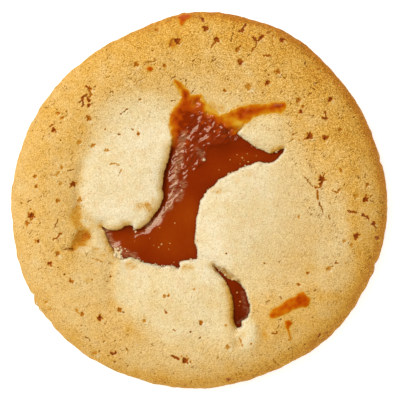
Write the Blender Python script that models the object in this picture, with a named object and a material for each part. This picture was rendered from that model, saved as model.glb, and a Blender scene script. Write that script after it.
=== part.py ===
"""Caramel cookie, a script for Blender 4.5: blender --background --python part.py

A round baked biscuit, about 90 mm across. Its pale middle has torn open into soft flaps over a pool of
caramel, which shows in one large opening and in a slit below it. There are two solids: the dough, with its
flaps, cracks and the hollow beneath them, and the caramel, which fills that hollow and runs from the opening
to the slit.

+X is to the right and +Y to the top of the cookie as seen from above, +Z is up, and the base lies on Z = 0.
Sizes and places are in millimetres, and turn into metres where a mesh is made.
"""

import math

import bpy
import numpy as np
from mathutils import Vector, noise
from mathutils.geometry import delaunay_2d_cdt

MM = 0.001

# --- Driving dimensions, in millimetres ---
RADIUS = 45.0  # of the whole cookie, on average
RIM_HEIGHT = 13.3  # top of the rim ring
WIDEST_HEIGHT = 4.6  # where the side stands furthest out
EDGE_ROUNDING = 11.5  # width of the rim's rounded shoulder
BASE_ROUNDING = 2.6  # how far the flat base stays inside the outline
CENTRE_SINK = 1.2  # how far the middle lies below the rim
SINK_START, SINK_END = 37.0, 18.0  # distances from the middle between which the top goes down
POOL_LEVEL = 10.4  # top of the caramel in the deep part of the opening
POOL_DEPTH = 5.0
FILM_DEPTH = 1.4  # of the recess that holds the thin caramel at the upper end
FLAP_REACH = 3.0  # how far the hollow goes in under the flaps
FILM_REACH = 0.45  # the same at the thin caramel
LIP_ABOVE_POOL = 0.45
LIP_WIDTH = 2.4  # width of a flap's rounded edge
FILM_LIP_DROP = 0.3
FILM_LIP_WIDTH = 0.9
FILM_PROUD = 0.1  # how far the thin caramel stands above the dough beside it
FILM_START, FILM_END = 14.5, 20.5  # along Y: all pool below the first, all thin caramel above the second
GAP = 0.3  # between dough and caramel, at the least
ROOF_GAP, END_GAP = 1.2 * GAP, 1.4 * GAP  # a little more, as straight facets cut the curves short

# --- Soft unevenness: (size of the waves, height, seed) ---
CRUST_WAVES = ((8.0, 0.25, 3.0), (3.5, 0.1, 7.0))
POOL_WAVES = (4.0, 0.2, 11.0)

# --- Mesh spacing ---
COARSE, FINE, HOLLOW = 2.0, 1.05, 1.25
KEEP_OFF = 0.55  # share of the spacing that inner places keep clear of a loop or a detail
RIM_POINTS = 140
SHOULDER_INSETS = (2.4, 0.9)  # rings on the rounded shoulder, measured in from the outline
BASE_LEANS = (32, 62, 90)  # rings on the rounded base edge, in degrees round its quarter turn
CONTOUR_STEP = 0.4

# --- The outline: (direction in degrees, radius), joined by a smooth curve ---
EDGE = (
    (0, 45.1), (18, 44.25), (30, 44.3), (42, 44.25), (60, 45.1), (75, 45.0), (92, 44.95), (110, 43.3),
    (128, 43.35), (148, 44.0), (180, 45.1), (189, 45.3), (201, 46.0), (225, 46.5), (250, 45.6), (270, 45.4),
    (290, 44.9), (318, 45.4), (330, 45.15), (348, 45.3),
)

# --- The opening, clockwise: each stretch is smooth, with a corner where it meets the next ---
OPENING = (
    ((-5.9, 28.3), (-4.0, 27.1), (-2.5, 25.4), (0.4, 25.0)),  # right side of the spur
    ((0.4, 25.0), (0.9, 22.2), (3.2, 19.9), (5.5, 19.0)),  # down to the foot of the arm
    ((5.5, 19.0), (7.3, 20.9), (10.4, 22.3), (15.0, 22.6), (18.1, 23.1), (20.0, 23.2), (20.5, 22.3)),  # arm
    ((20.5, 22.3), (19.6, 20.9), (16.0, 20.9), (12.1, 19.4), (9.0, 15.8)),  # arm, lower side
    ((9.0, 15.8), (10.7, 14.4), (13.6, 12.5), (16.8, 10.9), (18.4, 11.5), (20.3, 12.2)),  # edge of the tongue
    ((20.3, 12.2), (19.3, 10.6), (17.6, 9.1), (16.0, 8.8), (14.5, 9.2)),  # right-hand corner
    ((14.5, 9.2), (9.5, 7.7), (4.4, 4.8), (1.8, 2.4), (0.1, 0.0), (-0.6, -3.8), (-1.2, -8.6),
     (-0.6, -12.0), (-0.5, -13.9)),  # round edge of the right flap
    ((-0.5, -13.9), (-2.6, -14.2), (-4.6, -14.6), (-4.9, -16.1)),  # notch in the bottom flap's edge
    ((-4.9, -16.1), (-6.6, -15.6), (-10.7, -15.4), (-14.8, -14.2), (-16.7, -13.6), (-18.4, -14.2)),  # foot
    ((-18.4, -14.2), (-20.0, -12.7), (-21.5, -10.3), (-22.4, -7.7), (-23.4, -6.2)),  # crumbled corner
    ((-23.4, -6.2), (-21.7, -7.2), (-18.8, -7.0), (-16.7, -6.0)),  # left flap, its foot
    ((-16.7, -6.0), (-15.7, -7.0), (-14.3, -7.0), (-11.9, -5.0), (-9.5, -1.9), (-8.5, 0.7), (-8.8, 3.4),
     (-8.4, 6.5), (-7.2, 10.3), (-6.1, 13.9)),  # left flap, its long side
    ((-6.1, 13.9), (-7.3, 15.6), (-7.1, 20.4), (-6.4, 21.6), (-4.2, 24.2), (-4.4, 25.7),
     (-5.9, 28.3)),  # left side of the spur
)
SLIT = (
    ((3.2, -15.6), (6.8, -18.8), (9.7, -20.2), (11.3, -22.8), (12.0, -25.7), (11.4, -28.1)),
    ((11.4, -28.1), (10.0, -28.8), (10.0, -30.2), (9.0, -30.4)),
    ((9.0, -30.4), (8.0, -28.3), (8.3, -25.4), (7.8, -23.0), (6.4, -19.4), (3.2, -15.6)),
)

# --- Soft swellings of the top: (x, y, half width, half length, height) ---
SWELLINGS = {
    "left flap": (-17.5, 5.0, 13.0, 15.0, 1.4),
    "right flap": (17.0, -7.0, 20.0, 18.0, 1.7),
    "bottom flap": (-7.0, -24.0, 16.0, 12.0, 1.3),
    "tongue": (15.5, 17.0, 9.0, 6.0, 0.7),
    "ridge by the slit": (12.3, -32.6, 3.0, 4.4, 0.7),
    "hollow left of the pool": (-28.0, -9.1, 3.4, 3.4, -0.8),
    "hollow right of the ridge": (15.0, -32.0, 2.6, 4.0, -0.5),
}

# --- Creases between the flaps and the rim: (half width, depth, points) ---
CREASES = (
    (1.6, 1.1, ((-27.7, 7.2), (-28.4, 2.4), (-28.6, -1.0), (-26.8, -4.6), (-23.4, -6.2))),
    (1.3, 0.5, ((-21.0, -15.6), (-21.5, -20.4), (-20.3, -24.0))),
    (1.0, 0.8, ((-0.5, -13.9), (1.6, -14.4), (3.2, -15.6))),
    (0.9, 0.6, ((9.0, -30.2), (8.5, -32.4), (8.8, -34.3))),
    (0.6, 0.6, ((-32.3, -11.8), (-29.9, -12.0), (-27.5, -11.3), (-25.8, -10.3))),
)

# --- Cracks in the crust, with a half width and depth of their own, and pits: (x, y, radius) ---
CRACK_HALF_WIDTH, CRACK_DEPTH = 0.45, 0.8
CRACKS = (
    ((-0.3, 43.8), (1.2, 42.6)),
    ((11.2, 41.6), (9.7, 40.1)),
    ((12.8, 38.9), (14.0, 38.2), (13.3, 37.0), (12.4, 35.5)),
    ((27.0, 26.8), (27.8, 26.0)),
    ((25.8, 20.3), (27.1, 19.9)),
    ((29.5, 6.0), (28.4, 3.1), (28.1, 1.0)),
    ((35.3, -2.6), (37.4, -3.1)),
    ((38.4, -3.7), (40.4, -4.3)),
    ((17.6, -38.2), (18.8, -39.4)),
    ((-6.7, -37.0), (-4.9, -37.9)),
    ((-21.2, -36.5), (-19.8, -36.2)),
    ((-27.1, 26.9), (-25.8, 26.1), (-26.4, 24.4), (-28.3, 23.5)),
    ((-35.2, 5.8), (-34.0, 5.8), (-33.2, 6.7)),
    ((-31.3, 7.0), (-29.9, 7.2)),
    ((-34.0, -4.8), (-34.4, -7.0)),
)
PIT_DEPTH_SHARE = 1.3  # of a pit's radius
PITS = (
    (1.6, 40.8, 0.6), (-5.2, 37.7, 0.9), (4.2, 38.2, 0.7), (9.8, 32.9, 0.7), (11.6, 26.9, 0.8),
    (19.8, 38.2, 0.6), (16.2, 27.8, 0.6), (18.6, 30.2, 0.7), (31.2, 23.9, 0.6), (24.2, 21.1, 0.6),
    (26.3, 15.1, 0.8), (29.9, 20.2, 0.6), (30.1, 14.6, 0.6), (33.5, 16.6, 0.6), (39.6, 0.1, 0.7),
    (37.5, -8.8, 0.8), (41.0, -5.6, 0.6), (6.8, -35.0, 0.6), (0.4, -29.3, 0.6), (-3.4, -38.3, 0.7),
    (-23.6, -28.1, 0.7), (-27.8, -27.1, 0.6), (-35.7, -15.0, 0.6), (-38.0, -9.8, 0.6), (-39.5, -3.8, 0.7),
    (-30.1, 3.6, 0.8), (-28.7, 13.7, 0.6), (-25.3, 13.0, 0.6), (-34.6, 16.5, 0.7), (-26.3, 19.4, 0.7),
)

# --- Caramel spilt on the crust, thick enough to feel: (half width, height, points) ---
SMEARS = (
    (1.2, 0.5, ((17.1, -27.1), (20.0, -25.7), (23.4, -24.7), (25.8, -24.0))),
    (0.9, 0.4, ((21.1, -29.2), (21.2, -30.2))),
    (0.9, 0.4, ((-4.6, 42.6), (-2.8, 43.3))),
)


def smoothstep(start, end, value):
    share = np.clip((value - start) / (end - start), 0, 1)
    return share * share * (3 - 2 * share)


def mix(first, second, share):
    return first + (second - first) * share


def smooth_line(points, step):
    """An even line through the points, by Catmull-Rom, without its last point."""
    points = np.array(points, float)
    ends = np.array([2 * points[0] - points[1], 2 * points[-1] - points[-2]])
    points = np.concatenate((ends[:1], points, ends[1:]))
    t = np.linspace(0, 1, 24, endpoint=False)[:, None]
    runs = []
    for a, b, c, d in zip(points, points[1:], points[2:], points[3:]):
        runs.append(b + t * ((c - a) + t * ((2 * a - 5 * b + 4 * c - d) + t * (3 * b - a - 3 * c + d))) / 2)
    line = np.concatenate([*runs, points[-2:-1]])
    return resample(line, step)[:-1]


def resample(line, step):
    """The same line with points at an even distance, near the step."""
    along = np.concatenate(([0], np.cumsum(np.linalg.norm(np.diff(line, axis=0), axis=1))))
    even = np.linspace(0, along[-1], max(2, round(along[-1] / step)) + 1)
    return np.column_stack([np.interp(even, along, line[:, axis]) for axis in (0, 1)])


def torn_loop(stretches, step):
    return np.concatenate([smooth_line(stretch, step) for stretch in stretches])


def line_distance(xy, line, closed=False):
    """Distance from each place to a line, segment by segment."""
    ends = np.roll(line, -1, axis=0) if closed else line[1:]
    nearest = np.full(len(xy), np.inf)
    for a, b in zip(line, ends):
        share = np.clip(((xy - a) @ (b - a)) / ((b - a) @ (b - a)), 0, 1)
        nearest = np.minimum(nearest, np.linalg.norm(xy - a - share[:, None] * (b - a), axis=1))
    return nearest


def loop_distance(xy, loop):
    """Distance from each place to a loop, less than 0 inside it."""
    inside = np.zeros(len(xy), bool)
    x, y = xy.T
    for (ax, ay), (bx, by) in zip(loop, np.roll(loop, -1, axis=0)):
        if ay != by:
            inside ^= ((ay > y) != (by > y)) & (x < ax + (bx - ax) * (y - ay) / (by - ay))
    return np.where(inside, -1, 1) * line_distance(xy, loop, closed=True)


def waves(xy, size, height, seed):
    return height * np.array([noise.noise(Vector((x / size, y / size, seed))) for x, y in xy])


def edge_radius(direction):
    """Radius of the outline in a direction, given in radians."""
    turns = [(degrees + turn, radius) for turn in (-360, 0, 360) for degrees, radius in EDGE]
    degrees, radius = smooth_line(turns, 2.0).T
    return np.interp(np.degrees(direction), degrees, radius)


def edge_middle():
    """The middle of the outline's box, which is put at the origin."""
    direction = np.linspace(0, 2 * math.pi, 1440)
    ring = edge_radius(direction) * (np.cos(direction), np.sin(direction))
    return (ring.max(axis=1) + ring.min(axis=1)) / 2


MIDDLE = edge_middle()
OPENING_LOOP = torn_loop(OPENING, FINE)
SLIT_LOOP = torn_loop(SLIT, FINE)


def thin_share(xy):
    """0 over the deep pool, 1 where the caramel is a thin layer on the dough."""
    return smoothstep(FILM_START, FILM_END, xy[:, 1])


def swelling(xy, x, y, half_width, half_length, height):
    away = ((xy[:, 0] - x) / half_width) ** 2 + ((xy[:, 1] - y) / half_length) ** 2
    return height * np.clip(1 - away, 0, 1) ** 2


def crust(xy):
    """Height of the top before it tears: a domed rim, a sunken middle and soft swellings."""
    out = xy + MIDDLE
    radius = np.linalg.norm(out, axis=1)
    inset = edge_radius(np.arctan2(out[:, 1], out[:, 0])) - radius
    share = np.clip(1 - inset / EDGE_ROUNDING, 0, 1)
    height = mix(WIDEST_HEIGHT, RIM_HEIGHT, np.sqrt(1 - share**2))
    height -= CENTRE_SINK * smoothstep(SINK_START, SINK_END, radius)
    for numbers in SWELLINGS.values():
        height += swelling(xy, *numbers)
    for half_width, depth, points in CREASES:
        height -= depth * np.exp(-((line_distance(xy, np.array(points)) / half_width) ** 2))
    unevenness = sum(waves(xy, *numbers) for numbers in CRUST_WAVES)
    return height + unevenness * smoothstep(0, SHOULDER_INSETS[0], inset)


def top_height(xy):
    """The dough's upper side, with cracks, pits, spilt caramel and the rounded lips of the flaps."""
    height = crust(xy)
    for points in CRACKS:
        away = line_distance(xy, np.array(points)) / CRACK_HALF_WIDTH
        height -= CRACK_DEPTH * np.clip(1 - away**2, 0, 1)
    for x, y, radius in PITS:
        away = np.hypot(xy[:, 0] - x, xy[:, 1] - y) / radius
        height -= PIT_DEPTH_SHARE * radius * np.clip(1 - away**2, 0, 1)
    for half_width, rise, points in SMEARS:
        away = line_distance(xy, np.array(points)) / half_width
        height += rise * np.sqrt(np.clip(1 - away**2, 0, 1))
    thin = thin_share(xy)
    share = np.clip(from_hole(xy) / mix(LIP_WIDTH, FILM_LIP_WIDTH, thin), 0, 1)
    return mix(lip_height(xy), height, np.sqrt(1 - (1 - share) ** 2))


def from_hole(xy):
    """Distance to the nearer of the opening and the slit, less than 0 inside them."""
    return np.minimum(loop_distance(xy, OPENING_LOOP), loop_distance(xy, SLIT_LOOP))


def lip_height(xy):
    """Lowest line of a flap's edge."""
    return mix(POOL_LEVEL + LIP_ABOVE_POOL, crust(xy) - FILM_LIP_DROP, thin_share(xy))


def hollow_middle(xy):
    """Height at which the floor and the roof of the hollow meet."""
    return mix(POOL_LEVEL - 0.45 * POOL_DEPTH, crust(xy) - 0.5 * FILM_DEPTH, thin_share(xy))


def hollow_floor(xy):
    deep = mix(POOL_LEVEL - POOL_DEPTH, crust(xy) - FILM_DEPTH, thin_share(xy))
    return mix(hollow_middle(xy), deep, hollow_opening(xy))


def hollow_roof(xy):
    return mix(hollow_middle(xy), lip_height(xy), hollow_opening(xy))


def reach(xy):
    """How far the hollow goes in beyond the edge of a flap."""
    return mix(FLAP_REACH, FILM_REACH, thin_share(xy))


def hollow_opening(xy):
    """1 at the edge of a flap, rounded down to 0 at the end of the hollow."""
    share = np.clip(from_hole(xy) / reach(xy), 0, 1)
    return np.sqrt(1 - share**2)


def caramel_top(xy):
    """The pool, level with soft waves, and the thin caramel that climbs on to the dough, below the flaps."""
    hole, thin = from_hole(xy), thin_share(xy)
    free = mix(POOL_LEVEL + waves(xy, *POOL_WAVES), crust(xy) + FILM_PROUD, thin)
    rise_from_edge = 1.5 * np.clip(-hole - GAP, 0, None)
    limit = np.where(hole < 0, lip_height(xy) + rise_from_edge, hollow_roof(xy))
    return np.minimum(free, limit - ROOF_GAP)


def caramel_base(xy):
    return hollow_floor(xy) + ROOF_GAP


def contour(field, half, step):
    """The longest loop on which a field is 0, anticlockwise round its lower side."""
    count = round(2 * half / step) + 1
    x, y = np.meshgrid(np.linspace(-half, half, count), np.linspace(-half, half, count))
    places = np.column_stack((x.ravel(), y.ravel()))
    values = field(places)
    low = values < 0
    number = np.arange(count * count).reshape(count, count)
    a, b, c, d = number[:-1, :-1], number[:-1, 1:], number[1:, 1:], number[1:, :-1]
    triangles = np.concatenate([np.stack(three, axis=-1).reshape(-1, 3) for three in ((a, b, c), (a, c, d))])
    follow, zero = {}, {}
    for three in triangles[low[triangles].sum(axis=1) % 3 != 0].tolist():
        for p, q in zip(three, three[1:] + three[:1]):
            if low[p] != low[q]:
                key = (min(p, q), max(p, q))
                zero[key] = mix(places[p], places[q], values[p] / (values[p] - values[q]))
                if low[p]:
                    start = key
                else:
                    end = key
        follow[start] = end
    loops = []
    while follow:
        loop = [next(iter(follow))]
        while loop[-1] in follow:
            loop.append(follow.pop(loop[-1]))
        loops.append([zero[key] for key in loop])
    return np.array(max(loops, key=len))


def even_places(half, step):
    """Places over a square in rows, every other row shifted by half a step."""
    rows = np.arange(-half, half, step * math.sqrt(0.75))
    x, y = np.meshgrid(np.arange(-half, half, step), rows)
    x = x + np.where(np.arange(len(rows)) % 2, step / 2, 0)[:, None]
    return np.column_stack((x.ravel(), y.ravel()))


def clear_of(places, taken, distance):
    """The places that lie further than a distance from all that are taken."""
    between = np.linalg.norm(places[:, None] - taken[None], axis=2)
    return places[between.min(axis=1) > distance]


def raised(line, height):
    return np.column_stack((line, height(line)))


def flat_triangles(places, edges):
    """Numbers of the places at the corners of triangles between the edges."""
    inside_edges = 1
    found = delaunay_2d_cdt([Vector(place) for place in places], edges, [], inside_edges, 1e-6)
    faces, sources = found[2], found[3]
    return np.array([[sources[corner][0] for corner in face] for face in faces])


def ring_edges(first, count):
    """Pairs of neighbouring numbers round a loop."""
    return [(first + i, first + (i + 1) % count) for i in range(count)]


def sheet(loops, inner, height, facing_up=True):
    """Triangles between loops of 3-D points, by way of inner places that lie at a height of their own.

    The first loop bounds the sheet, and any others are the opening and the slit, which stay open. Where
    a triangle's side would run straight from one loop point to another, its middle becomes an inner place,
    so that two sheets on one loop never share such a side.
    """
    rim = np.concatenate(loops)
    edges, first = [], 0
    for loop in loops:
        edges += ring_edges(first, len(loop))
        first += len(loop)
    chords = True
    while chords:
        places = np.concatenate((rim[:, :2], inner))
        triangles = flat_triangles(places, edges)
        if len(loops) > 1:
            triangles = triangles[from_hole(places[triangles].mean(axis=1)) > 0]
        sides = {tuple(sorted(pair)) for t in triangles.tolist() for pair in zip(t, t[1:] + t[:1])}
        chords = [side for side in sides - {tuple(sorted(edge)) for edge in edges} if side[1] < len(rim)]
        inner = np.array([*inner, *(places[list(side)].mean(axis=0) for side in chords)])
    corners = np.concatenate((rim, raised(inner, height)))[triangles]
    return corners if facing_up else corners[:, ::-1]


def band(upper, lower):
    """Triangles between two rings of as many points, facing out where the rings run anticlockwise."""
    a, b, c, d = upper, lower, np.roll(lower, -1, axis=0), np.roll(upper, -1, axis=0)
    return np.concatenate((np.stack((a, b, c), axis=1), np.stack((a, c, d), axis=1)))


def edge_ring(inset):
    """A ring of places inside the outline."""
    direction = np.linspace(0, 2 * math.pi, RIM_POINTS, endpoint=False)
    radius = edge_radius(direction) - inset
    return np.column_stack((radius * np.cos(direction), radius * np.sin(direction))) - MIDDLE


def add_object(name, triangles, colour, roughness):
    corners = triangles.reshape(-1, 3)
    points, faces = np.unique(np.round(corners, 5), axis=0, return_inverse=True)
    mesh = bpy.data.meshes.new(name)
    mesh.from_pydata((points * MM).tolist(), [], faces.reshape(-1, 3).tolist())
    mesh.shade_smooth()
    material = bpy.data.materials.new(name)
    material.use_nodes = True
    shader = material.node_tree.nodes["Principled BSDF"]
    shader.inputs["Base Color"].default_value = colour
    shader.inputs["Roughness"].default_value = roughness
    mesh.materials.append(material)
    thing = bpy.data.objects.new(name, mesh)
    bpy.context.collection.objects.link(thing)
    return thing


def relief_places():
    """Places on and round every crack, pit and spill, so that the coarse mesh carries their shape."""
    just_outside = 1.1
    around = np.radians(np.arange(0, 360, 60))
    circle = just_outside * np.column_stack((np.cos(around), np.sin(around)))
    found = [np.array([(x, y)]) for x, y, _ in PITS]
    found += [np.array((x, y)) + circle * radius for x, y, radius in PITS]
    lines = [(CRACK_HALF_WIDTH, points) for points in CRACKS]
    lines += [(half_width, points) for half_width, _, points in SMEARS]
    for half_width, points in lines:
        line = resample(np.array(points), 1.6 * half_width)
        along = np.gradient(line, axis=0)
        side = np.column_stack((-along[:, 1], along[:, 0]))
        side *= just_outside * half_width / np.linalg.norm(side, axis=1)[:, None]
        found += [line, line + side, line - side]
    return np.concatenate(found)


def dough_triangles(hollow_loop):
    """The skin of the dough: top, flaps' undersides, floor of the hollow, rounded side and flat base."""
    rings = [raised(edge_ring(inset), top_height) for inset in SHOULDER_INSETS]
    for lean in np.radians((0, *BASE_LEANS)):
        ring = edge_ring(BASE_ROUNDING * (1 - math.cos(lean)))
        rings.append(np.column_stack((ring, np.full(RIM_POINTS, WIDEST_HEIGHT * (1 - math.sin(lean))))))
    shoulder, base = rings[0][:, :2], rings[-1]
    lips = [raised(loop, lip_height) for loop in (OPENING_LOOP, SLIT_LOOP)]
    end = raised(hollow_loop, hollow_middle)

    near, far = even_places(RADIUS, FINE), even_places(RADIUS + COARSE, COARSE)
    fine_zone = LIP_WIDTH + FINE
    hole = from_hole(near)
    near = near[(hole > KEEP_OFF * FINE) & (hole < fine_zone)]
    far = far[(from_hole(far) > fine_zone) & (loop_distance(far, shoulder) < -KEEP_OFF * COARSE)]
    relief = relief_places()
    relief = relief[(loop_distance(relief, shoulder) < -GAP) & (from_hole(relief) > GAP)]
    upper = np.concatenate((
        relief, clear_of(near, relief, KEEP_OFF * FINE), clear_of(far, relief, KEEP_OFF * COARSE)
    ))

    under = even_places(RADIUS, HOLLOW)
    within = loop_distance(under, hollow_loop) < -KEEP_OFF * HOLLOW
    roof = under[within & (from_hole(under) > KEEP_OFF * HOLLOW)]
    parts = [
        sheet([rings[0], *lips], upper, top_height),
        sheet([end, *lips], roof, hollow_roof, facing_up=False),
        sheet([end], under[within], hollow_floor),
        base[flat_triangles(base[:, :2], ring_edges(0, RIM_POINTS))][:, ::-1],
    ]
    parts += [band(upper_ring, lower_ring) for upper_ring, lower_ring in zip(rings, rings[1:])]
    return np.concatenate(parts)


def caramel_triangles(caramel_loop):
    """The skin of the caramel: its top, with the part under the flaps, and the base it lies on."""
    places = even_places(RADIUS, HOLLOW)
    places = places[loop_distance(places, caramel_loop) < -KEEP_OFF * HOLLOW]
    end = raised(caramel_loop, hollow_middle)
    return np.concatenate((
        sheet([end], places, caramel_top),
        sheet([end], places, caramel_base, facing_up=False),
    ))


def hollow_outline(inset):
    """The outer end of the hollow seen from above, or a line a little inside it."""
    loop = contour(lambda xy: from_hole(xy) - reach(xy) + inset, 0.75 * RADIUS, CONTOUR_STEP)
    return resample(loop, FINE)[:-1]


for thing in list(bpy.data.objects):
    bpy.data.objects.remove(thing)

biscuit = dough_triangles(hollow_outline(0))
caramel = caramel_triangles(hollow_outline(END_GAP))
add_object("biscuit", biscuit, colour=(0.72, 0.46, 0.19, 1), roughness=0.8)
add_object("caramel", caramel, colour=(0.32, 0.07, 0.012, 1), roughness=0.2)
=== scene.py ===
import math

import bpy
import numpy as np
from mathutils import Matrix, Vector, noise
from mathutils.bvhtree import BVHTree
from mathutils.geometry import delaunay_2d_cdt


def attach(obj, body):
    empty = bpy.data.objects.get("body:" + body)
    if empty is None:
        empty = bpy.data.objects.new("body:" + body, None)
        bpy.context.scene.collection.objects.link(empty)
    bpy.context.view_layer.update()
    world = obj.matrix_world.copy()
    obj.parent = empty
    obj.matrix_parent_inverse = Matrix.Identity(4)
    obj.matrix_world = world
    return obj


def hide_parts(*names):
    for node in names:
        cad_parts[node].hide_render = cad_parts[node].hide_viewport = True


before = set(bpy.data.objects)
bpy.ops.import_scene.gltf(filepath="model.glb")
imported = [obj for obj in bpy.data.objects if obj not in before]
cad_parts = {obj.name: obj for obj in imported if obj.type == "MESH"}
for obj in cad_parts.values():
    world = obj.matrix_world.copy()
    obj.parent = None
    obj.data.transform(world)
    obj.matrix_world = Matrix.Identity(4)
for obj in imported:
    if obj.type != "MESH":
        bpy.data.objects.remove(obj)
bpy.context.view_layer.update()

# ==== The dough ==================================================================================
# A disc of shortcrust, baked golden at the rim and left pale in the middle, where it has torn into soft flaps
# over the caramel. One closed piece: the crust with its pits and cracks, the rounded side, the browned base,
# and the hollow that goes in beneath the flaps.
MM = 0.001
RADIUS, RIM_HEIGHT, WIDEST_HEIGHT = 45.0, 13.3, 4.6
EDGE_ROUNDING, BASE_ROUNDING = 11.5, 2.6
CENTRE_SINK, SINK_START, SINK_END = 1.2, 37.0, 18.0
POOL_LEVEL, POOL_DEPTH, FILM_DEPTH = 10.4, 5.0, 1.4
FLAP_REACH, FILM_REACH = 3.0, 0.45  # how far the hollow goes in, at the pool and at the thin caramel
HOLLOW_SPAN = 0.78 * RADIUS
LIP_ABOVE_POOL = 0.45
LIP_WIDTH, LIT_LIP_WIDTH, FILM_LIP_WIDTH = 2.4, 0.5, 0.9  # rounding of a torn edge: shaded, lit, at thin caramel
LIT_FROM, LIT_TO = -0.1, 0.6  # how far an edge faces the light when it starts to count as lit, and when it is
POOL_MEETING, FILM_MEETING = 0.45, 0.5  # how far down the hollow its floor and roof meet, as a share of its depth
FILM_START, FILM_END, FILM_TILT = 13.4, 16.4, 0.2
CRUST_WAVES = ((8.0, 0.25, 3.0), (3.5, 0.1, 7.0), (1.7, 0.07, 17.0))

EDGE = (
    (0, 45.1), (18, 44.25), (30, 44.3), (42, 44.25), (60, 45.1), (75, 45.0), (92, 44.95), (110, 43.3), (128, 43.35),
    (148, 44.0), (180, 45.1), (189, 45.3), (201, 46.0), (225, 46.5), (250, 45.6), (270, 45.4), (290, 44.9),
    (318, 45.4), (330, 45.15), (348, 45.3),
)
# Chips and crumbs at the outline: (direction in degrees, half width in degrees, how far it stands out)
EDGE_CHIPS = (
    (-20.3, 0.7, -0.5), (-23.0, 1.2, 0.15), (209.8, 0.8, -0.45), (212.5, 0.9, 0.35), (214.8, 0.7, 0.4),
    (219.9, 1.3, -0.3), (95.0, 1.0, 0.2), (165.0, 1.2, -0.2), (300.0, 1.4, -0.2), (12.0, 1.0, -0.2),
)

PHOTO_MIDDLE, MM_PER_PIXEL = np.array((199.5, 200.0)), 0.24
# The torn edges, clockwise, as pixels of the photograph
OPENING = (
    (174, 82), (176, 82), (183, 87), (188, 92), (190, 97), (192, 96.5), (201, 96), (203, 100), (206.5, 104.5),
    (211, 109), (216, 113.5), (221, 117), (226, 115), (230, 112.5), (236, 109), (243, 107), (250, 106), (262, 106),
    (275, 103.6), (283, 103.5), (285, 107), (281, 113), (266, 113), (257, 115.5), (250, 119), (244, 125), (240, 130),
    (237, 134), (240, 137), (244, 140), (250, 144.5), (256, 148), (262.5, 151), (269.5, 154.4), (276, 152),
    (284, 149), (280, 156), (273, 162), (266, 163.5), (260, 161.5), (256, 162), (250, 165), (243, 167), (239, 168),
    (238, 170), (233, 172), (228, 175), (222, 178), (218, 180), (215, 184), (212, 187), (207, 190), (206, 193),
    (203, 197), (200, 200), (199.5, 205), (198, 211), (197, 216), (196, 222), (195.5, 230), (194.7, 236),
    (194.5, 241), (196, 245), (197, 250), (197.3, 258), (192, 259), (186, 259.5), (180, 261), (179, 263),
    (179.5, 267.5), (178, 268), (175, 266), (172, 265), (166, 265), (163, 267), (160, 265), (155, 264), (145, 262),
    (138, 259), (130, 256.5), (123, 259), (117, 256), (116, 253), (113, 248), (110, 243), (108, 238), (106, 232),
    (102, 226), (109, 230), (115, 230.5), (121, 229), (126, 226), (130, 225), (133, 226), (134, 229), (140, 229),
    (144, 226), (150, 221), (155, 214), (160, 208), (162, 202), (164, 197), (163, 190), (163, 182), (164.5, 173),
    (167, 165), (169.5, 157), (171, 150), (172, 143), (172, 135), (171.3, 127), (171, 120), (172, 114), (174, 109),
    (179, 105), (182, 99), (181, 93), (178, 88),
)
SLIT = (
    (213, 265), (218, 269), (228, 278.5), (235, 280), (240, 284), (244, 289), (246.5, 295), (247.5, 300),
    (249.5, 305), (249, 311), (247, 317), (241, 320), (241, 326), (237, 326.5), (234, 322), (233, 318), (233.5, 312),
    (234, 306), (233, 301), (232, 296), (230, 291), (229, 287), (226, 281), (221, 275), (216, 269),
)
TORN_STEP = 0.18
TORN_RAGS = ((1.1, 0.15, 21.0), (0.5, 0.12, 22.0))

# Soft swellings of the top: (x, y, half width, half length, height)
SWELLINGS = (
    (-17.5, 5.0, 13.0, 15.0, 1.4),  # left flap
    (17.0, -7.0, 20.0, 18.0, 1.7),  # right flap
    (-7.0, -24.0, 16.0, 12.0, 1.3),  # bottom flap
    (15.5, 17.0, 9.0, 6.0, 0.7),  # tongue
    (12.3, -32.6, 3.0, 4.4, 0.7),  # ridge by the slit
    (-28.0, -9.1, 3.4, 3.4, -0.8),  # hollow left of the pool
    (15.0, -32.0, 2.6, 4.0, -0.5),  # hollow right of the ridge
)
# Creases between the flaps and the rim: (half width, depth, points)
CREASES = (
    (1.6, 1.1, ((-27.7, 7.2), (-28.4, 2.4), (-28.6, -1.0), (-26.8, -4.6), (-23.4, -6.2))),
    (1.3, 0.5, ((-21.0, -15.6), (-21.5, -20.4), (-20.3, -24.0))),
    (1.0, 0.8, ((-0.5, -13.9), (1.6, -14.4), (3.2, -15.6))),
    (0.9, 0.6, ((9.0, -30.2), (8.5, -32.4), (8.8, -34.3))),
    (0.6, 0.6, ((-32.3, -11.8), (-29.9, -12.0), (-27.5, -11.3), (-25.8, -10.3))),
)
# Raised edges: (height, how far it goes on, pixels of the photograph with the raised side on their left)
STEPS = (
    (0.55, 2.6, ((88, 156), (83, 170), (80, 184), (79, 197), (81, 208), (85, 215), (90, 220), (97, 224), (104, 229))),
    (0.4, 1.7, ((100, 239), (92, 243), (85, 247), (75, 250), (66, 249), (58, 250))),
    (0.6, 2.2, ((125, 258), (118, 262), (113, 270), (111, 280), (111, 290), (114, 298), (121, 306))),
)
STEP_END = 0.2  # the share of a raised edge that fades out at each end
STEP_FACE = (-0.3, 0.25)  # its steep face, from side to side
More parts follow.
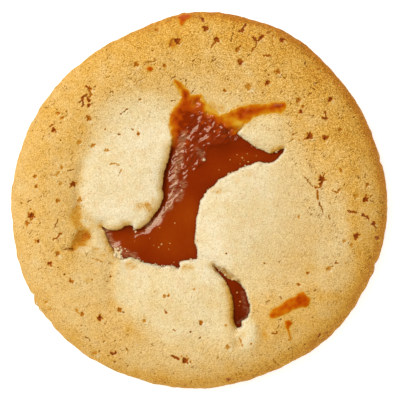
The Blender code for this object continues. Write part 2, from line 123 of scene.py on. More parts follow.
# Dents with a stained floor: (depth, width of the slope, stain, shade, pixels of the photograph)
DENTS = (
    (0.85, 1.5, 0.56, 0.0, (
        (71, 250), (72, 243), (74.5, 239), (76.5, 234), (79, 229.5), (85, 228), (92.5, 231), (92.5, 237), (89, 242),
        (84, 246), (78, 248), (73, 251.5))),
    (0.35, 0.5, 0.76, 0.0, (
        (79, 242.5), (81, 237), (84.5, 232.5), (91, 231.5), (91.5, 237), (87.5, 241.5), (83, 243.5))),
    (0.6, 1.6, 0.46, 0.0, (
        (81, 205), (82.5, 212), (83.5, 219), (85, 225), (90, 230), (84, 230.5), (78.5, 226), (74, 222), (70, 217),
        (72, 209), (77, 204))),
    (0.9, 0.35, 0.42, 0.42, (
        (212, 263), (218, 265.5), (228, 271), (239.5, 279.5), (237, 283), (228, 281), (219, 275), (213, 268))),
    (0.0, 0.35, 0.2, 0.85, ((226, 277), (233, 278.5), (239.5, 281), (237, 284), (229, 283))),
    (0.3, 1.0, 0.25, 0.0, ((243, 330), (246, 328), (241, 344), (236, 346), (233, 342))),
)
DENT_SLOPE = (0.3, -0.7)  # where the slope starts and ends, in widths of the slope
# Pits where caramel has bubbled through, deep ones first: (x, y, half width), as pixels of the photograph
RED_PITS = (
    (206, 30, 2.2), (199.5, 16.5, 1.5), (202.5, 20, 1.7), (178, 43, 2.6), (217, 41, 2.4), (261, 38, 1.8),
    (282, 41, 2.2), (267, 84, 1.8), (329.5, 100.5, 2), (300.3, 112.3, 1.4), (309, 137, 2.4), (324.5, 139, 2),
    (90, 102, 1.4), (89.7, 106.5, 1.4), (55.5, 131, 2), (74.7, 184.7, 2.1), (33, 216, 2.4), (39, 241, 1.6),
    (364.3, 199.5, 2.4), (373, 223.5, 1.8), (355.7, 236.5, 2.4), (376.7, 238.4, 1.8), (51, 263, 1.6), (101, 317, 2),
    (185.5, 359.5, 2.4), (228.7, 379.6, 1.6), (319, 334.5, 1.4), (326.5, 332.5, 1.3), (381.8, 174, 1.5),
    (321, 179.5, 2.6), (320, 184, 1.6), (260, 38.5, 1.3), (241, 64, 1.4),
)
ORANGE_PITS = (
    (157, 31, 1.5), (237, 51, 1.8), (240.5, 63, 2.4), (137, 66, 2.2), (165, 67, 1.6), (225, 92, 1.5), (139, 135, 1.4),
    (277, 73, 2), (318, 69.5, 1.5), (298, 101, 2), (302, 107.5, 1.2), (339, 131, 1.5), (292, 135, 1.1),
    (292, 140.4, 1.1), (91, 90.5, 1.8), (90, 119.5, 2.2), (59, 114, 1.5), (64, 119, 1.3), (36, 177, 1.5),
    (37, 187, 1.4), (59, 201, 1.3), (62, 234, 1.5), (59, 254, 2), (29, 223, 1.8), (340, 170, 1.4), (366, 185, 1.6),
    (307, 273, 1.4), (298, 284, 1.4), (165, 295, 1.1), (169, 295, 1.1), (201, 322, 1.8), (72.5, 281, 1.8),
    (83.5, 313.3, 1.6), (121, 309, 2), (273, 36, 1), (273, 38, 1), (272, 43, 1),
)
GOLD_PITS = (
    (248, 88, 2.6), (81, 200, 2), (354.5, 196, 2), (343.5, 241, 1.6), (350.6, 244.8, 1.5), (327.5, 268.6, 2),
    (145, 319.5, 1.6), (228, 346, 2), (47, 302, 1.3), (51, 308.5, 1.3), (78, 309.5, 1.4), (95, 353, 2.2),
    (315.5, 187.5, 1.8), (298, 217, 1.2), (80, 143, 1.8), (94, 146, 2), (108, 151, 1.5), (63, 168, 1.5),
    (62, 184, 1.3),
)
PINHOLES = (
    (153, 52), (141, 100), (133, 130), (271, 58), (265, 77), (268, 76), (263, 94), (349, 107.6), (338, 115),
    (338.5, 119), (95, 91), (66, 87), (68, 90), (58, 110), (68, 112), (44.5, 137), (37, 119.5), (46, 122), (120, 135),
    (106, 130), (62, 141), (23, 203), (334.6, 170), (314, 151), (306, 160), (348.5, 156.5), (357, 178), (191, 331),
    (200, 337), (218, 357), (93, 279), (112, 276), (108, 281), (66, 274), (105, 340.5), (116.5, 339.5), (100.5, 351),
    (109, 355), (115, 361), (128, 365), (192, 380.6), (304.5, 344), (340, 291), (280, 319), (227, 253), (264, 262.5),
    (278.5, 261.5), (332, 266), (124, 311.5),
)
# Cracks, stained through with caramel or dry, as pixels of the photograph
RED_CRACKS = (
    ((198, 15), (204, 22)), ((246, 25), (243, 29), (240, 33)), ((243.5, 29.5), (242, 32.5)),
    ((253, 38.5), (255.5, 41), (256.5, 44)), ((256.5, 42.5), (260, 40.5), (263, 36.5)), ((87, 87.5), (91.5, 89.5)),
    ((84, 100.5), (81, 103)), ((83, 99), (88, 95)), ((84.5, 101), (84, 107)), ((171.5, 354), (179, 358)),
    ((111, 352), (114, 353.5), (117, 351)), ((361, 215), (367.8, 218)), ((347, 211), (355.4, 212.7)),
    ((324, 112.5), (324.5, 116), (326, 119), (322, 119)),
)
ORANGE_CRACKS = (
    ((178, 43), (173, 40), (170, 48)), ((237, 51), (241, 47)), ((51, 127), (55, 125)),
    ((323.5, 174), (322, 178), (320.5, 184), (319.5, 187)), ((321, 181), (319.5, 185)), ((314, 188), (319, 187.5)),
    ((316.5, 191.5), (316.5, 196), (317, 199)), ((332, 191), (336, 192.5), (339, 189)),
    ((256, 46), (255.5, 48), (252.5, 50), (251.5, 52.5)), ((91, 92), (92, 95), (91, 98), (88.5, 98)),
    ((306, 133), (309, 137), (304, 140)), ((263, 57), (270, 57)), ((266, 34), (276, 31)), ((166, 309), (167, 312)),
    ((272, 332), (276, 333), (276, 330.5)), ((369, 197), (371, 195)), ((62, 234), (55, 240)), ((217, 41), (211, 49)),
    ((373, 223.5), (375, 228)), ((71, 249), (74.5, 249.5)),
)
GOLD_CRACKS = (
    ((119, 176), (122, 171)), ((111, 165), (115, 164), (120, 165.5)), ((53, 176), (58, 175.5), (61, 172)),
    ((62, 234), (58, 238)), ((156, 62), (150, 64)), ((94, 258), (104, 262)), ((137, 84), (143, 80)),
    ((239, 337), (243, 345)),
)
DRY_CRACKS = (
    ((233, 34), (231, 43)), ((216, 60), (213, 63)), ((172, 80), (176, 76)), ((191, 94), (194, 91)),
    ((171, 102), (176, 101)), ((282, 78), (285, 80)), ((305, 62), (304.5, 66), (306, 68)),
    ((312, 85), (316, 84), (318, 83)), ((311, 94), (308, 96)), ((311, 88), (314, 91)), ((307, 115.6), (312.6, 116.5)),
    ((352, 118), (355, 117)), ((95, 88.5), (97, 87)), ((47, 107.5), (49.5, 108.5)), ((113, 92), (111, 94)),
    ((121, 115), (128, 110.5)), ((69, 171), (75, 170)), ((28, 202), (33, 200)),
    ((304, 177), (308, 182), (312, 187.5)), ((318, 201), (319.5, 206), (321.5, 209), (322, 213)),
    ((364, 174.5), (365, 178)), ((357, 175.5), (356.5, 179)), ((327.5, 216), (329, 220)), ((370, 201), (374, 202.5)),
    ((378, 201), (385, 204)), ((376, 212), (381, 213.5), (385, 216)), ((335, 260.5), (334.5, 263), (337, 262.5)),
    ((279, 295.5), (281, 298)), ((174, 329), (176, 330)), ((86, 336.5), (89, 337), (91, 340)),
    ((127.5, 347), (128.5, 350)), ((273, 358), (274.5, 361), (277.5, 363.5)),
    ((265, 303), (267, 300.5), (270, 300.5)), ((288, 348), (292, 346.5)), ((313, 290.3), (316, 289)),
    ((59, 220), (57.5, 224), (56, 228)), ((65, 249.5), (70, 248.7), (74, 248.5)),
    ((156, 59), (154.5, 63), (150, 62.5), (145, 64)),
)
# Each kind of mark: (places, half width in pixels or None for its own, depth as a share of it, stain, how dark its
# shaded side is)
MARKS = (
    (RED_PITS, None, 0.9, 0.95, 0.3),
    (ORANGE_PITS, None, 0.8, 0.7, 0.16),
    (GOLD_PITS, None, 0.6, 0.52, 0.05),
    (PINHOLES, 0.95, 1.2, 0.55, 0.9),
    (RED_CRACKS, 1.1, 1.0, 0.92, 0.5),
    (ORANGE_CRACKS, 0.9, 1.0, 0.72, 0.35),
    (GOLD_CRACKS, 0.8, 0.8, 0.5, 0.15),
    (DRY_CRACKS, 0.58, 1.3, 0.6, 0.78),
)
PIT_SPREAD = 1.25  # how much wider a pit is dug than its dark middle looks
MARK_RAGS = (0.5, 0.8, 31.0)
MARK_BENDS, MARK_SEEDS = ((0.7, 0.24), (0.36, 0.2)), (32.0, 33.0)
MARK_REACH = 1.2
SHADED_SIDE = np.array((-0.7, 0.7))  # the side of a pit nearest the light
STAIN_SHIFT, DARK_SHIFT, LIT_SHIFT = 0.2, 0.4, -0.9  # how far each lies towards that side, in half widths
HALO = 0.35  # how strong the soft stain round a mark is, as a share of its own
# Where they fade, in half widths from the middle of a mark: its stain, the halo, the dark side and the lit far side
STAIN_EDGE, HALO_EDGE, DARK_EDGE, LIT_EDGE, LIT_START = (1.2, 0.85), (2.2, 0.9), (0.85, 0.3), (1.1, 0.5), (0.8, 1.1)
TO_LIGHT = np.array((-0.84, 0.54))  # the way to the light, seen from above
# Caramel spilt on the crust: (name, thickness, its deepest place, outline), as pixels of the photograph
SPILLS = (
    ("caramel_smear", 0.16, (302, 300), (
        (268.6, 313), (271.4, 308.6), (280, 304), (286, 298.8), (293, 296), (298.5, 292), (302.5, 291), (306.4, 295),
        (309, 297.5), (309, 302), (306, 306.2), (300, 306.6), (293, 308.8), (285.7, 313), (277, 316.4),
        (271.4, 317.6), (268.8, 316))),
    ("caramel_drip", 0.14, (288, 322), (
        (284, 320), (289, 319.3), (292, 322), (289.3, 325.7), (286.8, 328.8), (284.6, 326))),
    ("caramel_drip_tail", 0.07, (287, 327), (
        (285.8, 327.5), (288.2, 327), (289.4, 332), (291, 338.6), (289.8, 339.2), (288, 334))),
    ("caramel_edge_blob", 0.22, (184, 19), (
        (176.5, 17.8), (181, 15.2), (186, 14), (192, 14.4), (191, 18.5), (186, 22), (182, 27), (179.5, 25),
        (179, 21))),
    ("caramel_spot", 0.12, (151, 70), ((146, 70.3), (149, 67.8), (152, 68), (154, 70.5), (151, 72.6), (148, 72.2))),
)
# Stains with no depth, some of them painted shade on sides turned from the light: below the left flap's lower edge,
# under the tongue, along the bottom flap beside the slit, and on the far side of the ridge.
# (x, y, half width, half height, strength), as pixels of the photograph
STAINS_AND_SHADE = (
    (145, 206, 13, 6.5, 0.38), (148, 205.5, 8, 4.5, 0.5), (154, 202, 5, 7, 0.34), (80, 226, 7, 6, 0.46),
    (97, 248.5, 5, 2.2, 0.46), (105, 255, 2, 2, 0.4), (112.5, 263, 2.5, 2, 0.45), (128, 223, 6, 3, 0.3),
    (219, 191, 7, 4, 0.36), (217, 190, 12, 7, 0.2), (234, 180, 9, 4, 0.22), (249, 175, 7, 4, 0.24),
    (262, 205, 14, 9, 0.14), (132, 275, 9, 11, 0.2), (89, 280, 6, 4, 0.34), (102, 290, 9, 12, 0.16),
    (300, 47, 7, 6, 0.25), (73, 336, 3, 7, 0.3), (312, 268, 5, 3, 0.28), (263.5, 333, 5, 12, 0.44),
    (188, 267, 9, 5, 0.34), (132, 266, 9, 7, 0.34), (178.5, 33, 2, 5, 0.4), (172.5, 45, 5, 7, 0.66),
    (181, 21, 5, 6, 0.5), (302, 84, 5, 4, 0.2), (339, 131, 6, 4, 0.2), (60, 190, 12, 14, 0.12), (165, 67, 2, 5, 0.5),
    (212, 109, 12, 9, 0.42), (242, 122, 7, 5, 0.34), (171, 126, 4, 15, 0.5), (300, 82, 3, 3, 0.2),
    (228, 318, 5, 19, 0.16), (307, 268, 7, 5, 0.2), (255, 145, 9, 5, 0.2),
)
# Paler flaps: (how pale, softness of the edge, pixels of the photograph)
FLAPS = (
    (0.6, 4.6, (
        (112, 104), (140, 92), (168, 96), (174, 118), (170, 150), (164, 200), (150, 222), (134, 229), (110, 231),
        (96, 226), (82, 218), (76, 204), (76, 182), (80, 156), (92, 128))),
    (0.74, 1.5, (
        (104, 137), (130, 126), (166, 118), (171, 150), (164, 200), (150, 222), (134, 229), (110, 231), (96, 224),
        (85, 216), (80, 204), (80, 184), (84, 164), (92, 148))),
    (0.3, 4.6, (
        (197, 205), (222, 178), (250, 165), (280, 157), (292, 150), (302, 158), (313, 178), (318, 205), (321, 232),
        (319, 262), (311, 285), (298, 296), (276, 304), (258, 318), (248, 312), (240, 284), (222, 268), (198, 256))),
    (0.45, 1.3, ((113, 272), (121, 260), (140, 260), (152, 275), (148, 296), (126, 308), (114, 296))),
    (0.66, 3.6, (
        (113, 272), (121, 260), (140, 260), (180, 264), (200, 256), (220, 272), (230, 292), (234, 318), (235, 338),
        (222, 346), (190, 344), (150, 335), (126, 318), (113, 296))),
    (0.36, 1.8, ((238, 136), (250, 122), (270, 114), (290, 116), (294, 130), (285, 147), (268, 154), (250, 145))),
)
# Paler places in the rest of the crust; the one at (86, 249) is painted light on the lit lower edge of the left dip:
# (x, y, half width, half height, strength), as pixels of the photograph
PALE_AND_LIT_PATCHES = (
    (130, 118, 46, 30, 0.35), (215, 76, 64, 32, 0.06), (198, 338, 66, 30, 0.35), (246, 332, 12, 20, 0.85),
    (296, 215, 44, 84, 0.15), (86, 223, 7, 5, 0.8), (100, 238, 11, 14, 0.6), (62, 195, 16, 50, 0.12),
    (202, 225, 7, 34, 0.6), (92, 276, 24, 34, 0.3), (368, 205, 14, 46, 0.12), (330, 222, 21, 48, 0.34),
    (86, 249, 10, 4, 0.4), (250, 75, 4, 4, 0.25), (332, 262, 24, 34, 0.32), (312, 210, 17, 30, 0.3),
    (110, 80, 40, 30, 0.1),
)


def fade(start, end, value):
    """0 at the start and 1 at the end, and smooth between them."""
    share = np.clip((value - start) / (end - start), 0, 1)
    return share * share * (3 - 2 * share)


def mix(first, second, share):
    return first + (second - first) * share


def length(rows):
    return np.linalg.norm(rows, axis=-1)


def from_photo(pixels):
    """Places on the photograph, in pixels, as places on the cookie."""
    return (np.array(pixels, float) - PHOTO_MIDDLE) * (MM_PER_PIXEL, -MM_PER_PIXEL)


def resample(line, step):
    """The same line with points at an even distance, near the step."""
    along = np.concatenate(([0], np.cumsum(length(np.diff(line, axis=0)))))
    even = np.linspace(0, along[-1], max(2, round(along[-1] / step)) + 1)
    return np.column_stack([np.interp(even, along, line[:, axis]) for axis in (0, 1)])


def smooth_line(points, step):
    """An even line through the points, by Catmull-Rom, without its last point."""
    points = np.array(points, float)
    ends = np.array([2 * points[0] - points[1], 2 * points[-1] - points[-2]])
    points = np.concatenate((ends[:1], points, ends[1:]))
    t = np.linspace(0, 1, 24, endpoint=False)[:, None]
    runs = []
    for a, b, c, d in zip(points, points[1:], points[2:], points[3:]):
        runs.append(b + t * ((c - a) + t * ((2 * a - 5 * b + 4 * c - d) + t * (3 * b - a - 3 * c + d))) / 2)
    return resample(np.concatenate([*runs, points[-2:-1]]), step)[:-1]


def waves(places, size, height, seed):
    """Soft unevenness over flat places or places in space."""
    if places.shape[1] == 2:
        places = np.column_stack((places, np.full(len(places), seed * size)))
        seed = 0
    return height * np.array([noise.noise(Vector((x / size, y / size, z / size + seed)))
                              for x, y, z in places.tolist()])


def unevenness(places, layers):
    """Waves of several sizes laid over each other."""
    return sum(waves(places, *layer) for layer in layers)


def closed(loop):
    return np.concatenate((loop, loop[:1]))


def torn_loop(pixels):
    """A torn edge through these places: a little softened, then ragged."""
    loop = resample(closed(from_photo(pixels)), TORN_STEP)[:-1]
    for _ in range(2):
        loop = (np.roll(loop, 1, axis=0) + 2 * loop + np.roll(loop, -1, axis=0)) / 4
    along = np.roll(loop, -1, axis=0) - np.roll(loop, 1, axis=0)
    side = np.column_stack((along[:, 1], -along[:, 0])) / length(along)[:, None]
    return loop + side * unevenness(loop, TORN_RAGS)[:, None]


def line_distance(xy, line, within):
    """Distance from each place to a line, as far as the given distance."""
    nearest = np.full(len(xy), float(within))
    if len(line) == 1:
        return np.minimum(nearest, length(xy - line[0]))
    run_length = 16
    for first in range(0, len(line) - 1, run_length):
        run = line[first:first + run_length + 1]
        near = np.flatnonzero(((xy > run.min(axis=0) - within) & (xy < run.max(axis=0) + within)).all(axis=1))
        ahead = np.diff(run, axis=0)
        from_start = xy[near][:, None] - run[:-1]
        share = np.clip((from_start * ahead).sum(axis=2) / (ahead**2).sum(axis=1), 0, 1)
        away = length(from_start - share[..., None] * ahead).min(axis=1, initial=within)
        nearest[near] = np.minimum(nearest[near], away)
    return nearest


def beside(xy, line):
    """Distance to the side of a line, more than 0 on its left, and how far along it that is, from 0 to 1."""
    nearest, side, along = np.full(len(xy), np.inf), np.zeros(len(xy)), np.zeros(len(xy))
    for number, (a, b) in enumerate(zip(line, line[1:])):
        ahead, from_start = b - a, xy - a
        share = np.clip(from_start @ ahead / (ahead @ ahead), 0, 1)
        away = length(from_start - share[:, None] * ahead)
        closer = away < nearest
        left = ahead[0] * from_start[:, 1] - ahead[1] * from_start[:, 0] > 0
        nearest, side = np.where(closer, away, nearest), np.where(closer, np.where(left, away, -away), side)
        along = np.where(closer, (number + share) / (len(line) - 1), along)
    return side, along


def inside(xy, loop):
    found = np.zeros(len(xy), bool)
    x, y = xy.T
    for (ax, ay), (bx, by) in zip(loop.tolist(), np.roll(loop, -1, axis=0).tolist()):
        if ay != by:
            found ^= ((ay > y) != (by > y)) & (x < ax + (bx - ax) * (y - ay) / (by - ay))
    return found


def loop_distance(xy, loop, within):
    """Distance from each place to a loop, less than 0 inside it."""
    return np.where(inside(xy, loop), -1, 1) * line_distance(xy, closed(loop), within)


def outline_distance(xy, pixels, within):
    """Distance from each place to an outline on the photograph, less than 0 inside it."""
    return loop_distance(xy, from_photo(pixels), within)


def oval(xy, x, y, half_width, half_height):
    """Square of the distance from the middle of an oval on the photograph, 1 at its edge."""
    away = (xy - from_photo((x, y))) / (half_width * MM_PER_PIXEL, half_height * MM_PER_PIXEL)
    return (away**2).sum(axis=1)


def edge_radius(direction):
    """Radius of the outline in a direction, given in radians."""
    turns = [(degrees + turn, radius) for turn in (-360, 0, 360) for degrees, radius in EDGE]
    degrees, radius = smooth_line(turns, 2.0).T
    return np.interp(np.degrees(direction), degrees, radius)


def edge_middle():
    """The middle of the outline's box, which is put at the origin."""
    direction = np.linspace(0, 2 * math.pi, 1440)
    ring = edge_radius(direction) * (np.cos(direction), np.sin(direction))
    return (ring.max(axis=1) + ring.min(axis=1)) / 2


MIDDLE = edge_middle()
TORN_LOOPS = [torn_loop(OPENING), torn_loop(SLIT)]


def edge_inset(xy):
    """How far inside the outline each place lies."""
    out = xy + MIDDLE
    return edge_radius(np.arctan2(out[:, 1], out[:, 0])) - length(out)


def from_hole(xy, within=8.0):
    """Distance to the nearer torn edge, less than 0 over the caramel."""
    return np.minimum(*(loop_distance(xy, loop, within) for loop in TORN_LOOPS))


def facing_light(xy, hole):
    """How far the torn edge beside each place faces the light: 1 towards it, -1 away from it."""
    found = np.zeros(len(xy))
    near = np.flatnonzero(hole < LIP_WIDTH)
    slope = np.column_stack([from_hole(xy[near] + move, 4.0) - from_hole(xy[near] - move, 4.0)
                             for move in 0.6 * np.eye(2)])
    found[near] = -(slope @ TO_LIGHT) / np.maximum(length(slope), 0.1)
    return found


def thin_share(xy):
    """0 over the deep pool, 1 where the caramel is a thin layer on the dough."""
    return fade(FILM_START, FILM_END, xy[:, 1] - FILM_TILT * xy[:, 0])


def crust(xy):
    """Height of the top before it tears: a domed rim, a sunken middle and soft swellings."""
    inset = edge_inset(xy)
    share = np.clip(1 - inset / EDGE_ROUNDING, 0, 1)
    height = mix(WIDEST_HEIGHT, RIM_HEIGHT, np.sqrt(1 - share**2))
    height -= CENTRE_SINK * fade(SINK_START, SINK_END, length(xy + MIDDLE))
    for x, y, half_width, half_length, rise in SWELLINGS:
        away = ((xy[:, 0] - x) / half_width) ** 2 + ((xy[:, 1] - y) / half_length) ** 2
        height += rise * np.clip(1 - away, 0, 1) ** 2
    for half_width, depth, points in CREASES:
        height -= depth * np.exp(-((line_distance(xy, np.array(points), 5 * half_width) / half_width) ** 2))
    for rise, reach, pixels in STEPS:
        side, along = beside(xy, from_photo(pixels))
        ends = fade(0, STEP_END, along) * fade(1, 1 - STEP_END, along)
        height += rise * ends * fade(*STEP_FACE, side) * np.exp(-((np.clip(side, 0, None) / reach) ** 2))
    for depth, slope, _, _, pixels in DENTS:
        start, end = DENT_SLOPE
        height -= depth * fade(start * slope, end * slope, outline_distance(xy, pixels, 2.0))
    return height + unevenness(xy, CRUST_WAVES) * fade(0, 2.4, inset)


def mark_lines():
    """Each pit and crack: its line on the cookie, half width in pixels, spread, and the numbers of its kind."""
    for places, half_width, *kind in MARKS:
        for place in places:
            if half_width is None:
                yield from_photo([place[:2]]), place[2], PIT_SPREAD, kind
            else:
                yield from_photo(np.reshape(place, (-1, 2))), half_width, 1, kind


def marks(xy):
    """Depth, stain, dark side and bright far side of every pit and crack at each place, with ragged edges."""
    depth, stain, shade, lit = np.zeros((4, len(xy)))
    ragged = 1 + waves(xy, *MARK_RAGS)
    xy = xy + np.column_stack([unevenness(xy, [(*bend, seed) for bend in MARK_BENDS]) for seed in MARK_SEEDS])
    for line, half, spread, (depth_share, stain_here, shade_here) in mark_lines():
        half = spread * half * MM_PER_PIXEL
        middle, stained, dark, far = (
            line_distance(xy - moved * half * SHADED_SIDE, line, 3 * half) / half * ragged
            for moved in (0, STAIN_SHIFT, DARK_SHIFT, LIT_SHIFT))
        depth = np.maximum(depth, depth_share * half * np.clip(1 - middle**2, 0, 1))
        stain = np.maximum(stain, stain_here * fade(*STAIN_EDGE, stained))
        stain = np.maximum(stain, HALO * stain_here * fade(*HALO_EDGE, stained))
        shade = np.maximum(shade, shade_here * fade(*DARK_EDGE, dark))
        lit = np.maximum(lit, fade(*LIT_EDGE, far) * fade(*LIT_START, stained))
    return depth, stain, shade, lit


def mark_distance(xy):
    """Rough distance to the edge of the nearest mark or torn edge."""
    nearest = np.minimum(*(line_distance(xy, closed(loop), MARK_REACH) for loop in TORN_LOOPS))
    for line, half, *_ in mark_lines():
        half = half * MM_PER_PIXEL
        nearest = np.minimum(nearest, line_distance(xy, line, MARK_REACH + half) - half)
    return nearest


def lip_height(xy):
    """Lowest line of a flap's edge."""
    return mix(POOL_LEVEL + LIP_ABOVE_POOL, crust(xy), thin_share(xy))


def top_height(xy):
    """The dough's upper side, with cracks and pits and the rounded lips of the flaps."""
    thin, height, hole = thin_share(xy), crust(xy) - marks(xy)[0], from_hole(xy)
    width = mix(LIP_WIDTH, LIT_LIP_WIDTH, fade(LIT_FROM, LIT_TO, facing_light(xy, hole)))
    share = np.clip(hole / mix(width, FILM_LIP_WIDTH, thin), 0, 1)
    return mix(lip_height(xy), height, np.sqrt(1 - (1 - share) ** 2))


def hollow_middle(xy):
    """Height at which the floor and the roof of the hollow meet."""
    return mix(POOL_LEVEL - POOL_MEETING * POOL_DEPTH, crust(xy) - FILM_MEETING * FILM_DEPTH, thin_share(xy))


def hollow_reach(xy):
    return mix(FLAP_REACH, FILM_REACH, thin_share(xy))


def hollow_opening(xy):
    """1 at the edge of a flap, rounded down to 0 at the end of the hollow."""
    return np.sqrt(1 - np.clip(from_hole(xy) / hollow_reach(xy), 0, 1) ** 2)


def hollow_floor(xy):
    deep = mix(POOL_LEVEL - POOL_DEPTH, crust(xy) - FILM_DEPTH, thin_share(xy))
    return mix(hollow_middle(xy), deep, hollow_opening(xy))


def hollow_roof(xy):
    return mix(hollow_middle(xy), lip_height(xy), hollow_opening(xy))


def contour(field):
    """The longest loop on which a field is 0 within the hollow's span, anticlockwise round its lower side."""
    count = round(2 * HOLLOW_SPAN / CONTOUR_STEP) + 1
    x, y = np.meshgrid(*[np.linspace(-HOLLOW_SPAN, HOLLOW_SPAN, count)] * 2)
    places = np.column_stack((x.ravel(), y.ravel()))
    values = field(places)
    low = values < 0
    number = np.arange(count * count).reshape(count, count)
    a, b, c, d = number[:-1, :-1], number[:-1, 1:], number[1:, 1:], number[1:, :-1]
    triangles = np.concatenate([np.stack(three, axis=-1).reshape(-1, 3) for three in ((a, b, c), (a, c, d))])
    follow, zero = {}, {}
    for three in triangles[low[triangles].sum(axis=1) % 3 != 0].tolist():
        for p, q in zip(three, three[1:] + three[:1]):
            if low[p] != low[q]:
                key = (min(p, q), max(p, q))
                zero[key] = mix(places[p], places[q], values[p] / (values[p] - values[q]))
                if low[p]:
                    start = key
                else:
                    end = key
        follow[start] = end
    loops = []
    while follow:
        loop = [next(iter(follow))]
        while loop[-1] in follow:
            loop.append(follow.pop(loop[-1]))
        loops.append([zero[key] for key in loop])
    return np.array(max(loops, key=len))


def graded_lattice(half, finest, level_at):
    """Places in a lattice of triangles whose step doubles from level 0 to 1 and from 1 to 2."""
    found = []
    for level in range(3):
        step = finest * 2**level
        rows = np.arange(-math.ceil(1.2 * half / step), math.ceil(1.2 * half / step) + 1)
        x = (rows[None] + rows[:, None] % 2 / 2) * step
        y = rows[:, None] * step * math.sqrt(0.75) + 0 * x
        places = np.column_stack((x.ravel(), y.ravel()))
        places = places[length(places) < half]
        found.append(places[level_at(places) == level])
    return np.concatenate(found)


def even_lattice(half, step):
    return graded_lattice(half, step, lambda xy: np.zeros(len(xy)))


def well_inside(places, loop, margin):
    """The places that lie inside a loop by more than the margin."""
    return places[loop_distance(places, loop, 2 * margin) < -margin]


def raised(line, height):
    return np.column_stack((line, height(line)))


def sheet(loops, inner, height, facing_up=True):
    """Triangles between loops of 3-D points, by way of inner places that lie at a height of their own.

    The first loop bounds the sheet and any others stay open. Where a triangle's side would run straight from
    one loop point to another, its middle becomes an inner place, so that two sheets never share such a side.
    """
    rim = np.concatenate(loops)
    edges, first = [], 0
    for loop in loops:
        edges += [(first + i, first + (i + 1) % len(loop)) for i in range(len(loop))]
        first += len(loop)
    along_loops = {tuple(sorted(edge)) for edge in edges}
    chords = True
    while chords:
        places = np.concatenate((rim[:, :2], inner))
        inside_edges = 1
        found = delaunay_2d_cdt([Vector(place) for place in places.tolist()], edges, [], inside_edges, 1e-6)
        triangles = np.array([[found[3][corner][0] for corner in face] for face in found[2]])
        if len(loops) > 1:
            on_loops = np.flatnonzero((triangles < len(rim)).all(axis=1))
            open_ones = on_loops[from_hole(places[triangles[on_loops]].mean(axis=1)) < 0]
            triangles = np.delete(triangles, open_ones, axis=0)
        near = triangles[(triangles < len(rim)).sum(axis=1) > 1].tolist()
        sides = {tuple(sorted(pair)) for t in near for pair in zip(t, t[1:] + t[:1])}
        chords = [side for side in sides - along_loops if side[1] < len(rim)]
        inner = np.array([*inner, *(places[list(side)].mean(axis=0) for side in chords)])
    corners = np.concatenate((rim, raised(inner, height)))[triangles]
    return corners if facing_up else corners[:, ::-1]


def band(upper, lower):
    """Triangles between two rings of as many points, facing out where the rings run anticlockwise."""
    a, b, c, d = upper, lower, np.roll(lower, -1, axis=0), np.roll(upper, -1, axis=0)
    return np.concatenate((np.stack((a, b, c), axis=1), np.stack((a, c, d), axis=1)))


def welded(parts):
    """Points, faces and the number of the first part that each point belongs to."""
    corners = np.concatenate(parts).reshape(-1, 3)
    points, faces = np.unique(np.round(corners, 5), axis=0, return_inverse=True)
    faces = faces.reshape(-1, 3)
    part_of = np.full(len(points), len(parts))
    np.minimum.at(part_of, faces, np.repeat(np.arange(len(parts)), [len(part) for part in parts])[:, None])
    faces = faces[(faces != np.roll(faces, 1, axis=1)).all(axis=1)]
    return points, faces, part_of


def new_object(name, data):
    made = bpy.data.objects.new(name, data)
    bpy.context.collection.objects.link(made)
    return made


def add_piece(name, points, faces, material, slot, **attributes):
    """A smooth mesh that rides on the cookie, with its own values at each point for its material."""
    mesh = bpy.data.meshes.new(name)
    mesh.from_pydata((points * MM).tolist(), [], faces.tolist())
    mesh.shade_smooth()
    mesh.materials.append(material)
    for attribute, values in attributes.items():
        mesh.attributes.new(attribute, "FLOAT", "POINT").data.foreach_set("value", values.astype(np.float32))
    piece = new_object(name, mesh)
    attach(piece, "root")
    return piece


def point_normals(points, faces):
    a, b, c = (points[faces[:, i]] for i in range(3))
    across = np.cross(b - a, c - a)
    normals = np.zeros_like(points)
    for corner in range(3):
        np.add.at(normals, faces[:, corner], across)
    return normals / length(normals)[:, None]


# --- Shape of the dough ---
RIM_POINTS = 640
SHOULDER_INSETS = (1.3, 0.85, 0.5, 0.25, 0.08)
BASE_LEANS = np.radians(np.linspace(0, 90, 11))
CONTOUR_STEP, HOLLOW_LOOP_STEP = 0.4, 0.6
FINEST, HOLLOW_STEP, BASE_STEP = 0.125, 0.7, 1.2
FINE_REACH, MIDDLING_REACH = 0.17, 0.7  # how far the finest and the middling mesh go on round a mark
RIM_RAGS, RIM_RAGS_REACH = ((2.6, 0.05, 41.0), (0.9, 0.05, 42.0)), 1.2
ROOF_START = 0.2  # how far from a torn edge the first inner points of the roof lie


def edge_ring(inset):
    """A ring of places inside the outline, with its chips and rags."""
    direction = np.linspace(0, 2 * math.pi, RIM_POINTS, endpoint=False)
    way = np.column_stack((np.cos(direction), np.sin(direction)))
    radius = edge_radius(direction)
    rough = unevenness(way * radius[:, None], RIM_RAGS)
    for degrees, half_width, stand in EDGE_CHIPS:
        away = (np.degrees(direction) - degrees + 180) % 360 - 180
        rough += stand * np.exp(-((away / half_width) ** 2))
    radius = radius - inset + rough * np.exp(-inset / RIM_RAGS_REACH)
    return way * radius[:, None] - MIDDLE


def dough_level(xy):
    """How fine the mesh is at each place: finest at the marks and the torn edges."""
    distance = mark_distance(xy)
    return np.where(distance < FINE_REACH, 0, np.where(distance < MIDDLING_REACH, 1, 2))


rings = [raised(edge_ring(inset), top_height) for inset in SHOULDER_INSETS]
for lean in BASE_LEANS:
    ring = edge_ring(BASE_ROUNDING * (1 - math.cos(lean)))
    rings.append(np.column_stack((ring, np.full(RIM_POINTS, WIDEST_HEIGHT * (1 - math.sin(lean))))))
lips = [raised(loop, lip_height) for loop in TORN_LOOPS]
hollow_loop = resample(contour(lambda xy: from_hole(xy) - hollow_reach(xy)), HOLLOW_LOOP_STEP)[:-1]
hollow_end = raised(hollow_loop, hollow_middle)

